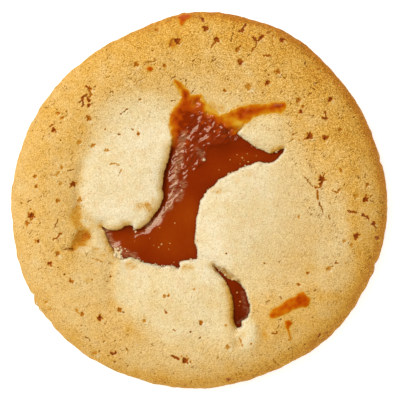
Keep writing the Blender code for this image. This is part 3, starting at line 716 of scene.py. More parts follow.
upper = graded_lattice(RADIUS + 2, FINEST, dough_level)
upper = upper[edge_inset(upper) > SHOULDER_INSETS[0] + 0.3]
upper = upper[from_hole(upper, within=1.0) > 0.5 * TORN_STEP]
under = well_inside(even_lattice(HOLLOW_SPAN, HOLLOW_STEP), hollow_loop, 0.5 * HOLLOW_STEP)
roof = under[from_hole(under) > ROOF_START]
base_places = even_lattice(RADIUS, BASE_STEP)
base_places = base_places[edge_inset(base_places) > BASE_ROUNDING + 0.5 * BASE_STEP]
points, faces, part_of = welded([
    sheet([rings[0], *lips], upper, top_height),
    np.concatenate([band(high, low) for high, low in zip(rings, rings[1:])]),
    sheet([rings[-1]], base_places, lambda xy: np.zeros(len(xy)), facing_up=False),
    sheet([hollow_end, *lips], roof, hollow_roof, facing_up=False),
    sheet([hollow_end], under, hollow_floor),
])
TOP, SIDE, BASE, ROOF = range(4)  # and the floor of the hollow comes after its roof
on_top, at_side, at_base = (part_of == part for part in (TOP, SIDE, BASE))

# Crumb relief along the surface, and pocks that go up into the base
SIDE_RELIEF = ((3.0, 0.22, 51.0), (1.2, 0.12, 52.0))
BASE_POCKS = ((2.6, 0.5, 53.0), (1.3, 0.3, 54.0))
normals = point_normals(points, faces)
relief = np.zeros(len(points))
relief[at_side] = unevenness(points[at_side], SIDE_RELIEF) * fade(0.1, 1.4, points[at_side, 2])
base_inset = edge_inset(points[at_base, :2])
relief[at_base] = (-np.clip(unevenness(points[at_base], BASE_POCKS), 0, None)
                   * fade(BASE_ROUNDING, BASE_ROUNDING + 2, base_inset))
shaped = points + normals * relief[:, None]
crust_mesh = BVHTree.FromPolygons(shaped.tolist(), faces.tolist())

# How far each point is baked, stained by caramel, or in the shade of a crack; the baking and the stain also carry
# painted light and shade at the torn edges, at the pits, on the right flap and in a few stains
LIGHT_WAY = 60  # the direction from the middle, in degrees, in which the rim is baked most
# Browner and paler rims: (direction in degrees, strength, sharpness, from and to how far inside the outline)
RIM_TONES = ((LIGHT_WAY, 0.32, 2, 2.4, 0.0), (170, -0.12, 1, 3.0, 0.0), (-90, 0.16, 1, 5.0, 1.5), (0, 0.1, 1, 4.5, 1.0))
# Shares of the baking, the grain, the stain and the shade: (how much, from and to how far). First by the distance from
# the middle, then from the right flap, from the outline, above the base, and from a torn edge
GOLDEN, BROWNER_SIDE, BROWNER_WAY, GRAINY_SIDE = (0.56, 13, 32), (0.13, 30, 43), 50, (0.5, 18, 34)
# Painted shade on the right flap, which slopes away from the light: browner in the baking and darker in the shade
RIGHT_FLAP, FLAP_SHADE_BAKE, FLAP_SHADE = (19, -5), (0.1, 18, 6), (0.08, 18, 8)
RIM_GLOW, SIDE_FOOT, SIDE_TOP = (0.1, 3, 0), (0.15, 3, 0), (9.5, 5.0)
WET_LIP, WET_CRUST, WET_RAGS = (0.45, 0.25, 0), (0.5, 0.9, 0), (0.8, 0.5, 67.0)
# Painted shade and light on the torn edges: browner where an edge faces away from the light, paler where it faces it
EDGE_SHADE_PAINT, EDGE_SHADE_REACH, EDGE_LIGHT_PAINT, EDGE_LIGHT_REACH = (0.5, -0.1, -0.8), (1.9, 0.1), (0.4, 0, 0.6), (0.9, 0.1)
# Painted light: lips that face the light lose their wet stain, and the lit far side of a pit is paler
LIT_LIP_PAINT, LIT_PALER, HOLLOW_STAIN = (0.85, 0, 0.6), 0.3, 0.9
SIDE_BAKE, BASE_BAKE, POCK_BAKE, GRAIN_LEAST, GRAIN_BAKED = 0.7, 0.74, 0.5, 0.42, 0.76
PATCH_EDGE, STAIN_SPREAD, DENT_EDGE, SPILL_STAIN = (1.15, 0.5), (1.2, 0.3), (0.4, -0.5), (0.45, 0.6, 0)
FLAP_RAGS, STAIN_RAGS, SPILL_RAGS = (1.8, 0.7, 68.0), (1.6, 0.7, 66.0), (0.6, 0.25, 60.0)
DENT_RAGS = ((0.8, 0.7, 69.0), (2.2, 0.8, 59.0))
BAKE_WAVES, SIDE_WAVES = ((6.0, 0.1, 61.0), (2.0, 0.07, 62.0)), (5.0, 0.2, 63.0)
BASE_WAVES = ((7.0, 0.25, 64.0), (1.6, 0.16, 65.0))
xy, high = points[:, :2], points[:, 2]
inset, out = edge_inset(xy), length(xy + MIDDLE)
direction = np.arctan2(xy[:, 1], xy[:, 0])
from_right_flap = length(xy - RIGHT_FLAP)


def towards(degrees):
    """1 in a direction from the middle, 0 from a right angle to it on."""
    return np.clip(np.cos(direction - math.radians(degrees)), 0, 1)


def graded(strength, start, end, value):
    return strength * fade(start, end, value)


bake = graded(*GOLDEN, out) + graded(*BROWNER_SIDE, out) * np.cos(direction - math.radians(BROWNER_WAY))
for pale, softness, pixels in FLAPS:
    away = outline_distance(xy, pixels, 5.0) + waves(xy, *FLAP_RAGS)
    bake *= 1 - pale * fade(0.5 * softness, -softness, away)
for *place, strength in PALE_AND_LIT_PATCHES:
    bake *= 1 - strength * fade(*PATCH_EDGE, np.sqrt(oval(xy, *place)))
# Painted shade on the right flap, and a browner band round the outline
bake += graded(*FLAP_SHADE_BAKE, from_right_flap) + graded(*RIM_GLOW, inset)
for degrees, strength, sharpness, start, end in RIM_TONES:
    bake += strength * towards(degrees) ** sharpness * fade(start, end, inset)
bake += 0.1 + unevenness(xy, BAKE_WAVES)
grain = GRAIN_LEAST + GRAIN_BAKED * bake + graded(*GRAINY_SIDE, out) * towards(LIGHT_WAY)
side_bake = mix(SIDE_BAKE + waves(points, *SIDE_WAVES) + graded(*SIDE_FOOT, high), bake, 0.6)
bake = np.where(at_side, mix(bake, side_bake, fade(*SIDE_TOP, high)), bake)
bake = np.where(at_base, BASE_BAKE + unevenness(points, BASE_WAVES) + POCK_BAKE * np.abs(relief), bake)

_, stain, shade, lit = marks(xy)
hole, thin = from_hole(xy), thin_share(xy)
facing = facing_light(xy, hole)
# Painted shade on torn edges that face away from the light, painted light on those that face it and on the lit far side
# of each pit
painted_edge_shade = graded(*EDGE_SHADE_PAINT, facing) * fade(*EDGE_SHADE_REACH, hole)
painted_edge_light = graded(*EDGE_LIGHT_PAINT, facing) * fade(*EDGE_LIGHT_REACH, hole)
bake += ((painted_edge_shade - painted_edge_light) * (1 - thin) - LIT_PALER * lit) * on_top
# A few of these stains are painted shade on sides turned from the light
for *place, strength in STAINS_AND_SHADE:
    away = np.sqrt(oval(xy, *place)) * (1 + waves(xy, *STAIN_RAGS))
    stain = np.maximum(stain, strength * fade(*STAIN_SPREAD, away))
for _, _, strength, darker, pixels in DENTS:
    floor = fade(*DENT_EDGE, outline_distance(xy, pixels, 2.0) + unevenness(xy, DENT_RAGS))
    stain, shade = np.maximum(stain, strength * floor), np.maximum(shade, darker * floor)
for *_, pixels in SPILLS:
    away = outline_distance(xy, pixels, 2.0) + waves(xy, *SPILL_RAGS)
    stain = np.maximum(stain, graded(*SPILL_STAIN, away))
# The wet stain at a lip is taken off where the lip faces the light: painted light
wet_lip = graded(*WET_LIP, hole) * (1 - graded(*LIT_LIP_PAINT, facing))
wet_crust = graded(*WET_CRUST, hole + waves(xy, *WET_RAGS))
stain = np.where(on_top, np.maximum(stain, mix(wet_lip, wet_crust, thin)), HOLLOW_STAIN * (part_of >= ROOF))
shade = np.where(on_top, np.maximum(shade, graded(*FLAP_SHADE, from_right_flap)), 0)


# --- Finish of the dough ---
LIT = 1.38  # how much brighter than its own colour a level surface is under the studio light
# Colours as screen values, those of a run with their places along it: from raw to well baked, and from damp to soaked
BAKED = ((0.0, 251, 235, 196), (0.25, 241, 214, 155), (0.5, 234, 193, 119), (0.75, 226, 168, 64), (1.0, 196, 118, 6))
SOAKING = ((0.0, 238, 194, 100), (0.3, 228, 172, 56), (0.6, 208, 134, 20), (0.85, 192, 98, 4), (1.0, 166, 70, 0))
BEIGE, PORE, HAIRLINE, DEEP_SHADE = (240, 202, 146), (184, 126, 8), (148, 96, 0), (100, 48, 2)
COARSE_CRUMB, FINE_CRUMB = (0.65, 0.6, 0.95), (0.25, 0.32, 0.6)  # sizes of grains, of pores and of hairline cracks
# From and to which value of its noise each thing shows
GRAIN_RANGE, PORE_RANGE, HAIRLINE_RANGE, HAIRLINES_HERE = (0.3, 0.7), (0.64, 0.74), (0.69, 0.76), (0.42, 0.6)
MOTTLE_RANGE = (0.5, 0.66)
# Hairline cracks: how they bend (size and reach), lean and stretch, and how large the places with many of them are
BEND_SIZE, BEND_REACH, HAIRLINE_LEAN, HAIRLINE_STRETCH = 0.9, 0.7, math.radians(-48), (1.0, 3.3, 2.0)
HAIRLINE_PLACES = 2.6
PORE_DEPTH, HAIRLINE_DEPTH, FINE_DEPTH = 0.6, 0.15, 0.6  # as shares of a grain's height, and fine of coarse
MOTTLE_SIZE, CRUST_BUMPS = 1.8, 0.075
# How much the sand counts beside the fine sand, in the baking, in the brightness and in the stain
COARSE_SAND, SAND_BAKED, SAND_BRIGHT, COARSE_SOAKED, FINE_SOAKED = 0.25, -0.16, 0.36, 0.14, 0.24
MOTTLE_STRENGTH, FINE_PORES, PORE_STRENGTH, SHADE_STRENGTH = 0.35, 0.8, 0.56, 0.9
MOTTLE_BAKED, HAIRLINES_GRAINY, SOAKED_RANGE = (0.85, 0.2), (0.42, 1.02), (0.08, 0.6)
WET_FROM, WET_TO, DRY_ROUGHNESS, WET_ROUGHNESS, CRUST_SHINE = 0.3, 1.0, 0.86, 0.5, 0.12


def colour(red, green, blue):
    """A colour as it looks under the studio light, from screen values, as the material's own colour."""
    linear = [((value / 255 + 0.055) / 1.055) ** 2.4 if value > 10 else value / 255 / 12.92
              for value in (red, green, blue)]
    return (*(value / LIT for value in linear), 1)


def feed(tree, taker, inputs):
    """Puts values or other nodes' sockets into a node's own sockets."""
    for socket, value in inputs.items():
        if isinstance(value, bpy.types.NodeSocket):
            tree.links.new(value, taker.inputs[socket])
        else:
            taker.inputs[socket].default_value = value


def node(tree, kind, inputs, **settings):
    made = tree.nodes.new(kind)
    for name, value in settings.items():
        setattr(made, name, value)
    feed(tree, made, inputs)
    return made


def math_node(tree, operation, *values, clamp=False):
    return node(tree, "ShaderNodeMath", dict(enumerate(values)), operation=operation, use_clamp=clamp).outputs[0]


def times(tree, first, second, clamp=False):
    return math_node(tree, "MULTIPLY", first, second, clamp=clamp)


def times_plus(tree, first, second, third):
    return math_node(tree, "MULTIPLY_ADD", first, second, third)


def centred(tree, value):
    return math_node(tree, "SUBTRACT", value, 0.5)


def vector_node(tree, operation, first, second):
    inputs = {0: first, "Scale" if operation == "SCALE" else 1: second}
    return node(tree, "ShaderNodeVectorMath", inputs, operation=operation).outputs[0]


def object_place(tree):
    return node(tree, "ShaderNodeTexCoord", {}).outputs["Object"]


def noise_node(tree, place, size, detail=2.0, output="Fac", **more):
    """Soft noise of a size in millimetres, or of a scale from another node."""
    scale = size if isinstance(size, bpy.types.NodeSocket) else 1 / (size * MM)
    return node(tree, "ShaderNodeTexNoise", {"Vector": place, "Scale": scale, "Detail": detail, **more}).outputs[output]


def attribute(tree, name):
    return node(tree, "ShaderNodeAttribute", {}, attribute_name=name).outputs["Fac"]


def ramp(tree, factor, *stops):
    """A run of colours along a factor, each as its place and screen values."""
    made = node(tree, "ShaderNodeValToRGB", {"Fac": factor})
    elements = made.color_ramp.elements
    while len(elements) < len(stops):
        elements.new(0.5)
    for element, (place, *screen) in zip(elements, stops):
        element.position, element.color = place, colour(*screen)
    return made.outputs["Color"]


def step(tree, value, start, end):
    """0 up to the start, 1 from the end, and smooth between them."""
    inputs = {"Value": value, "From Min": start, "From Max": end}
    return node(tree, "ShaderNodeMapRange", inputs, interpolation_type="SMOOTHSTEP").outputs["Result"]


def mix_colours(tree, factor, first, second, blend="MIX"):
    return node(tree, "ShaderNodeMix", {"Factor": factor, 6: first, 7: second}, data_type="RGBA",
                blend_type=blend).outputs[2]


def bumps(tree, height, depth, strength=1.0):
    """A normal for bumps of a depth in millimetres."""
    return node(tree, "ShaderNodeBump", {"Height": height, "Strength": strength, "Distance": depth * MM}).outputs[0]


def add_sockets(tree, way, kind, names):
    for name in names:
        tree.interface.new_socket(name, in_out=way, socket_type="NodeSocket" + kind)


def crumb_group():
    """Baked crumb: sandy grains, dark pores, short hairline cracks and a height for bumps."""
    group = bpy.data.node_groups.new("crumb grain", "ShaderNodeTree")
    sizes = ("Grain Size", "Pore Size", "Hairline Length")
    add_sockets(group, "INPUT", "Float", sizes)
    add_sockets(group, "OUTPUT", "Float", ("Tone", "Pores", "Hairlines", "Height"))
    start, end = group.nodes.new("NodeGroupInput").outputs, group.nodes.new("NodeGroupOutput")
    place = object_place(group)
    grain_scale, pore_scale, line_scale = (math_node(group, "DIVIDE", 1 / MM, start[name]) for name in sizes)
    tone = step(group, noise_node(group, place, grain_scale, 1.0, Roughness=0.6), *GRAIN_RANGE)
    pores = step(group, noise_node(group, place, pore_scale, 1.0), *PORE_RANGE)
    bend = vector_node(group, "SCALE", noise_node(group, place, BEND_SIZE, output="Color"), BEND_REACH * MM)
    bent = vector_node(group, "ADD", place, bend)
    turned = node(group, "ShaderNodeMapping", {"Vector": bent, "Rotation": (0, 0, HAIRLINE_LEAN)}).outputs[0]
    drawn_out = vector_node(group, "MULTIPLY", turned, HAIRLINE_STRETCH)
    hairlines = times(group, step(group, noise_node(group, drawn_out, line_scale, 0.0), *HAIRLINE_RANGE),
                      step(group, noise_node(group, place, HAIRLINE_PLACES, 1.0), *HAIRLINES_HERE))
    height = times_plus(group, hairlines, -HAIRLINE_DEPTH, times_plus(group, pores, -PORE_DEPTH, tone))
    feed(group, end, {"Tone": tone, "Pores": pores, "Hairlines": hairlines, "Height": height})
    return group


CRUMB = crumb_group()


def crumb_grain(tree, grain, pore, hairline):
    inputs = {"Grain Size": grain, "Pore Size": pore, "Hairline Length": hairline}
    return node(tree, "ShaderNodeGroup", inputs, node_tree=CRUMB).outputs


def new_material(name):
    material = bpy.data.materials.new(name)
    material.use_nodes = True
    return material, material.node_tree, material.node_tree.nodes["Principled BSDF"]


def baked_crust():
    material, tree, shader = new_material("baked crust")
    crumb, fine = crumb_grain(tree, *COARSE_CRUMB), crumb_grain(tree, *FINE_CRUMB)
    # The baking share also carries painted light and shade, and the stain share some painted shade
    baked, grain = attribute(tree, "bake"), attribute(tree, "grain")
    coarse_sand, fine_sand = centred(tree, crumb["Tone"]), centred(tree, fine["Tone"])
    sandy = times(tree, times_plus(tree, coarse_sand, COARSE_SAND, fine_sand), grain)
    dough = ramp(tree, times_plus(tree, sandy, SAND_BAKED, baked), *BAKED)
    mottle = noise_node(tree, object_place(tree), MOTTLE_SIZE)
    beige = times(tree, step(tree, mottle, *MOTTLE_RANGE), step(tree, baked, *MOTTLE_BAKED))
    dough = mix_colours(tree, times(tree, beige, MOTTLE_STRENGTH), dough, colour(*BEIGE))
    pores = times_plus(tree, fine["Pores"], FINE_PORES, crumb["Pores"])
    pores = times(tree, pores, times(tree, grain, PORE_STRENGTH), clamp=True)
    dough = mix_colours(tree, pores, dough, colour(*PORE))
    hairlines = math_node(tree, "MAXIMUM", crumb["Hairlines"], fine["Hairlines"])
    hairlines = times(tree, hairlines, step(tree, grain, *HAIRLINES_GRAINY), clamp=True)
    dough = mix_colours(tree, hairlines, dough, colour(*HAIRLINE))
    dough = mix_colours(tree, 1.0, dough, times_plus(tree, sandy, SAND_BRIGHT, 1.0), "MULTIPLY")
    # The stain share, with the painted shade of a few stains, picks a soaked colour
    stained = times_plus(tree, fine_sand, FINE_SOAKED, attribute(tree, "stain"))
    stained = times_plus(tree, coarse_sand, COARSE_SOAKED, stained)
    dough = mix_colours(tree, step(tree, stained, *SOAKED_RANGE), dough, ramp(tree, stained, *SOAKING))
    dough = mix_colours(tree, times(tree, attribute(tree, "shade"), SHADE_STRENGTH), dough, colour(*DEEP_SHADE))
    rough = node(tree, "ShaderNodeMapRange", {"Value": stained, "From Min": WET_FROM, "From Max": WET_TO,
                                              "To Min": DRY_ROUGHNESS, "To Max": WET_ROUGHNESS}).outputs[0]
    height = times_plus(tree, fine["Height"], FINE_DEPTH, crumb["Height"])
    feed(tree, shader, {"Base Color": dough, "Roughness": rough, "Specular IOR Level": CRUST_SHINE,
                        "Normal": bumps(tree, height, CRUST_BUMPS)})
    return material


biscuit = add_piece("biscuit_dough", shaped, faces, baked_crust(), "dough", bake=bake, stain=stain, shade=shade,
                    grain=grain)
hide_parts("biscuit")

# ==== The caramel ================================================================================
# A deep pool of cooked caramel beneath the flaps, with a rough boiled skin at its upper left, and a thin layer
# of it that climbs on to the dough at the top. One closed piece that fills the hollow.
FILM_BULGE, FILM_BULGE_WIDTH, FILM_OVERLAP = 0.12, 1.0, 0.3
FILM_RAGS, FILM_WAVES = ((1.1, 0.3, 77.0), (0.45, 0.15, 79.0)), (1.3, 0.08, 75.0)
POOL_WAVES, SHORE_WAVES = (5.0, 0.08, 11.0), (1.7, 0.07, 81.0)
DESCENT_START, DESCENT_END, MENISCUS, MENISCUS_WIDTH = 9.0, 16.4, 0.22, 1.6
# The boiled skin, the fold at its lower end, and the shore where the caramel falls away below the left flap
SKIN = (
    (178, 134), (189, 126), (191, 112), (190, 100), (200, 99), (204, 112), (214, 118), (224, 125), (235, 131),
    (238, 138), (224, 144), (208, 147), (206, 162), (190, 172), (184, 185), (178, 200), (170, 208), (165, 212),
    (167, 195), (167, 178), (171, 155), (175, 142),
)
FOLD = ((194, 148), (205, 147), (225, 143), (237, 139))
LEFT_SHORE = ((134, 229), (144, 226), (155, 214), (164, 197), (163, 182), (167, 165), (173, 147), (175, 138))
SKIN_RISE, SKIN_RAGS = 0.3, (1.4, 1.0, 71.0)
FOLD_RISE, FOLD_WIDTH = 0.35, 0.55
SHORE_DROP, SHORE_WIDTH = 0.75, 3.5
CLEAR_OF_FLAP, CLEAR_OF_ROOF, CLEAR_OF_LIP, CLEAR_OF_FLOOR = 0.14, 0.25, 0.3, 0.2
# Where they fade, by the distance to the shore: the raised edge of the pool, its uneven shore and the skin
MENISCUS_START, UNEVEN_SHORE, SKIN_START = (2.0, 5.0), (5.0, 2.5), (0.5, 3.0)
# and by the distance inside the torn edge: the skin, and the slope from the layer on the dough down to the pool
SKIN_EDGE, DESCENT_EDGE = (0.1, -0.9), (-0.4, -4.5)
FILM_FALL, CLIMB_BESIDE_FLAP, SKIN_AT_SHORE, SHORE_ON_FILM = 0.9, 1.5, 0.25, 0.7
WRINKLE_LEAN = math.radians(42)
WRINKLES = ((2.8, 1.15, 0.8, 71.3), (1.5, 0.6, 0.26, 73.7))  # length, width, rise, seed
WRINKLE_BEND, WRINKLE_STRENGTH, WRINKLE_WAVES = (2.2, 0.5, 72.0), (2.6, 0.9, 74.0), (1.1, 0.05, 78.0)
# Mounds on the pool, as pixels of the photograph: (x, y, half width, half height, rise in millimetres)
MOUNDS = (
    (124, 250, 16, 14, 0.5), (142, 261, 12, 9, 0.35), (190, 243, 9, 5, 0.12), (246, 314, 7, 12, 0.1),
    (193, 152, 15, 22, 0.6), (212, 140, 20, 16, 0.4),
)
# Tone of the pool, as pixels of the photograph: (x, y, half width, half height, how much lighter)
TONES = (
    (168, 236, 44, 34, 0.3), (186, 212, 18, 30, 0.3), (125, 243, 26, 17, 0.3), (246, 157, 26, 9, 0.25),
    (241, 300, 18, 38, -0.25), (239, 320, 7, 9, -0.25), (236, 293, 5, 9, -0.1), (212, 146, 16, 5, -0.12),
    (193, 232, 12, 34, 0.2),
)
# Where the layer on the dough is thinner: (x, y, half width, half height, how much), as pixels of the photograph
THIN_SPOTS = (
    (173, 124, 6, 20, -0.12), (186, 96, 5, 9, -0.2), (210, 110, 12, 10, 0.7), (233, 122, 14, 9, 0.7),
    (203, 101, 5, 5, 0.4), (194, 107, 8, 9, 0.35), (238, 125, 7, 6, 0.4), (277, 106, 9, 4, -0.2),
)
# Milky haze, partly dried skin and partly painted highlight where the caramel shows glare, as pixels of the
# photograph: (strength, half width, line)
HAZE_AND_GLARE = (
    (0.95, 4.6, ((107, 232), (110, 239), (114, 247), (120, 251))),
    (0.8, 4.2, ((127, 253), (134, 256))),
    (0.85, 5.0, ((184, 135), (181, 147), (179, 158), (177, 170))),
    (0.8, 3.6, ((176, 172), (174, 184), (172, 196), (170, 205), (165, 212), (157, 219), (148, 225))),
    (0.65, 4.4, ((184, 183), (181, 191), (178, 199))),
    (0.6, 3.5, ((197, 149), (203, 156))),
    (0.35, 1.6, ((274, 106), (281, 105.5))),
    (0.5, 1.5, ((238, 322), (246, 317), (248, 309))),
    (0.3, 2.6, ((242, 292), (245, 301), (245, 309))),
)
TONE_WAVES, THICK_WAVES, HAZE_RAGS = (5.0, 0.18, 80.0), (1.3, 0.3, 76.0), (1.2, 0.6, 85.0)
# Runs of colour as screen values with their places: from the thinnest film to a thick one, and from dark to light
FILM_COLOURS = ((0.0, 224, 166, 50), (0.2, 216, 142, 16), (0.45, 203, 108, 4), (0.75, 186, 72, 1), (1.0, 150, 44, 0))
POOL_COLOURS = ((0.0, 106, 28, 0), (0.45, 142, 42, 0), (0.8, 158, 57, 0), (1.0, 168, 74, 2))
# The tan of the dried skin, also painted as highlight where the caramel shows glare; and the tint of the gloss
DRIED_SKIN_AND_GLARE, GLOSS_TINT = (186, 130, 88), (1.0, 0.86, 0.64, 1)
UNEVEN_SIZE, STREAK_SIZE, STREAK_STRETCH, CARAMEL_BUMPS = 0.6, 0.5, (0.4, 1.4, 1.0), 0.03
UNEVEN_FILM, UNEVEN_POOL, FILM_TO_POOL, STREAK_RANGE, SKIN_ROUGHER = 0.3, 0.25, (0.85, 1.0), (0.3, 0.62), 0.05
THICKENING = 1.05  # how far in from its ragged edge the thin caramel grows thick


def spots(xy, table):
    """Soft oval spots laid over each other."""
    return sum(strength * np.clip(1 - oval(xy, *place), 0, 1) ** 2 for *place, strength in table)


def skin_share(xy):
    """1 in the boiled skin, 0 in the smooth pool."""
    return fade(0.5, -0.8, outline_distance(xy, SKIN, 4.0) + waves(xy, *SKIN_RAGS))


def wrinkles(xy):
    """Broken ridges of the boiled skin, drawn out along one direction."""
    along = xy @ (math.cos(WRINKLE_LEAN), math.sin(WRINKLE_LEAN))
    across = xy @ (-math.sin(WRINKLE_LEAN), math.cos(WRINKLE_LEAN)) + waves(xy, *WRINKLE_BEND)
    strength = np.clip(0.85 + waves(xy, *WRINKLE_STRENGTH), 0.2, 1.4)
    height = np.zeros(len(xy))
    for long, wide, rise, seed in WRINKLES:
        height -= rise * np.abs(waves(np.column_stack((along / long, across / wide)), 1.0, 1.0, seed))
    return strength * height + waves(xy, *WRINKLE_WAVES)


def film_edge(xy):
    """Distance to the ragged edge of the thin caramel, less than 0 on it."""
    wide, small = FILM_RAGS
    return from_hole(xy) - FILM_OVERLAP * thin_share(xy) + waves(xy, *wide) + waves(xy, *small)


def caramel_top(xy):
    """The pool, the skin on it, and the thin caramel on the dough, all kept below the flaps."""
    hole, thin, dough = from_hole(xy), thin_share(xy), crust(xy)
    shore = line_distance(xy, from_photo(LEFT_SHORE), 6.0)
    pool = POOL_LEVEL + waves(xy, *POOL_WAVES) + spots(xy, MOUNDS)
    pool += SKIN_RISE * fade(0.6, -0.6, outline_distance(xy, SKIN, 4.0))
    pool += FOLD_RISE * np.exp(-((line_distance(xy, from_photo(FOLD), 4.0) / FOLD_WIDTH) ** 2))
    edge = film_edge(xy)
    film = dough + np.where(edge < 0, FILM_BULGE * (1 - np.exp(edge.clip(None, 0) / FILM_BULGE_WIDTH)),
                            -FILM_FALL * edge)
    pool += MENISCUS * np.exp(np.clip(hole, None, 0) / MENISCUS_WIDTH) * fade(*MENISCUS_START, shore)
    pool += waves(xy, *SHORE_WAVES) * fade(*UNEVEN_SHORE, shore)
    climbing = np.maximum(thin, fade(DESCENT_START, DESCENT_END, xy[:, 1] - FILM_TILT * xy[:, 0])
                          * fade(*DESCENT_EDGE, hole))
    free = mix(pool, film + waves(xy, *FILM_WAVES) * fade(0, -1, edge), climbing)
    on_film = SHORE_ON_FILM * fade(0.0, -1.2, edge)
    free -= SHORE_DROP * np.clip(1 - shore / SHORE_WIDTH, 0, 1) ** 2 * mix(1.0, on_film, thin)
    rough = skin_share(xy) * fade(*SKIN_EDGE, hole) * mix(SKIN_AT_SHORE, 1.0, fade(*SKIN_START, shore))
    free += rough * wrinkles(xy)
    beside_flap = lip_height(xy) + CLIMB_BESIDE_FLAP * np.clip(-hole, 0, None) - CLEAR_OF_FLAP
    below_flap = np.minimum(hollow_roof(xy) - CLEAR_OF_ROOF, lip_height(xy) - CLEAR_OF_LIP)
    limit = np.where(hole < 0, beside_flap, below_flap)
    return mix(np.minimum(free, limit), free, fade(0.3, 0.9, thin))


def caramel_level(xy):
    """How fine the mesh is: finest in the skin and the thin caramel, coarse beneath the flaps."""
    fine = (skin_share(xy) > 0.02) | (thin_share(xy) > 0.3)
    return np.where(from_hole(xy, within=3.0) > 0.9, 2, np.where(fine, 0, 1))


def caramel_end_height(xy):
    return mix(hollow_middle(xy), crust(xy) - 0.5, thin_share(xy))


def caramel_floor(xy):
    return np.minimum(hollow_floor(xy) + CLEAR_OF_FLOOR, caramel_end_height(xy) - 0.1)


CARAMEL_REACH, CARAMEL_FILM_REACH = FLAP_REACH - 0.25, 0.85
CARAMEL_FINEST, CARAMEL_LOOP_STEP = 0.16, 0.4
caramel_loop = contour(lambda xy: from_hole(xy) - mix(CARAMEL_REACH, CARAMEL_FILM_REACH, thin_share(xy)))
caramel_loop = resample(caramel_loop, CARAMEL_LOOP_STEP)[:-1]
caramel_end = raised(caramel_loop, caramel_end_height)
caramel_places = well_inside(graded_lattice(HOLLOW_SPAN, CARAMEL_FINEST, caramel_level), caramel_loop, 0.2)
caramel_under = well_inside(even_lattice(HOLLOW_SPAN, HOLLOW_STEP), caramel_loop, 0.5 * HOLLOW_STEP)
points, faces, _ = welded([
    sheet([caramel_end], caramel_places, caramel_top),
    sheet([caramel_end], caramel_under, caramel_floor, facing_up=False),
])
xy = points[:, :2]
thick = 1 - np.exp(np.clip(film_edge(xy), None, 0) / THICKENING) + waves(xy, *THICK_WAVES) - spots(xy, THIN_SPOTS)
thick = np.maximum(thick, 1 - 2 * thin_share(xy))
# Dried skin and painted highlight on the caramel
milky = np.zeros(len(xy))
for strength, half_width, pixels in HAZE_AND_GLARE:
    away = line_distance(xy, from_photo(pixels), 3.0) / (half_width * MM_PER_PIXEL) + waves(xy, *HAZE_RAGS)
    milky = np.maximum(milky, strength * fade(1.2, 0.2, away))
tone = 0.45 + spots(xy, TONES) + waves(xy, *TONE_WAVES)


def cooked_caramel(name, roughness, specular):
    material, tree, shader = new_material(name)
    place = object_place(tree)
    fine = noise_node(tree, place, UNEVEN_SIZE, 3.0)
    uneven = centred(tree, fine)
    thickness = times_plus(tree, uneven, UNEVEN_FILM, attribute(tree, "thick"))
    film = ramp(tree, thickness, *FILM_COLOURS)
    pool = ramp(tree, times_plus(tree, uneven, UNEVEN_POOL, attribute(tree, "tone")), *POOL_COLOURS)
    body = mix_colours(tree, step(tree, thickness, *FILM_TO_POOL), film, pool)
    drawn_out = node(tree, "ShaderNodeMapping",
                     {"Vector": place, "Rotation": (0, 0, -WRINKLE_LEAN), "Scale": STREAK_STRETCH}).outputs[0]
    streaks = step(tree, noise_node(tree, drawn_out, STREAK_SIZE), *STREAK_RANGE)
    # The tan of dried skin, and painted highlight where the caramel shows glare, laid on in streaks
    body = mix_colours(tree, times(tree, attribute(tree, "milky"), streaks), body, colour(*DRIED_SKIN_AND_GLARE))
    feed(tree, shader, {
        "Base Color": body, "Roughness": times_plus(tree, attribute(tree, "skin"), SKIN_ROUGHER, roughness),
        "Specular IOR Level": specular, "Specular Tint": GLOSS_TINT, "Normal": bumps(tree, fine, CARAMEL_BUMPS, 0.3)})
    return material


caramel = add_piece("caramel_pool", points, faces, cooked_caramel("cooked caramel", 0.1, 0.75), "caramel",
                    thick=thick, skin=skin_share(xy), tone=tone, milky=milky)
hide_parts("caramel")

# ==== Caramel spilt on the crust =================================================================
# Thin caramel that ran out of the pits in baking and set on the crust: a long smear with a drip and its tail
# below it at the lower right, a blob on the upper edge and a small spot at the upper left. Each is a closed
# film on the dough.
SPILL_SLOPE, SPILL_STEP = 0.9, 0.14
SPILL_BENDS, SPILL_WAVES, SPILL_TONES = ((0.8, 0.12, 91.0), (0.8, 0.12, 93.0)), (0.9, 0.3, 92.0), (1.0, 0.25, 94.0)
SPILL_SUNK, SPILL_ROOTED, SPILL_ABOVE = 0.03, 0.25, 0.01  # its edge and its underside below the crust, its top above
SPILL_THICK, SPILL_DEEPEST, DEEPEST_REACH = 0.58, 0.22, 2.0  # how dark it looks, more at its deepest place
SOAKED = cooked_caramel("soaked caramel", 0.45, 0.02)


def surface_height(xy):
    """Height of the finished dough straight below each place."""
    heights = top_height(xy)
    for number, (x, y) in enumerate(xy.tolist()):
        hit = crust_mesh.ray_cast(Vector((x, y, 2 * RIM_HEIGHT)), Vector((0, 0, -1)))[0]
        heights[number] = hit.z if hit else heights[number]
    return heights


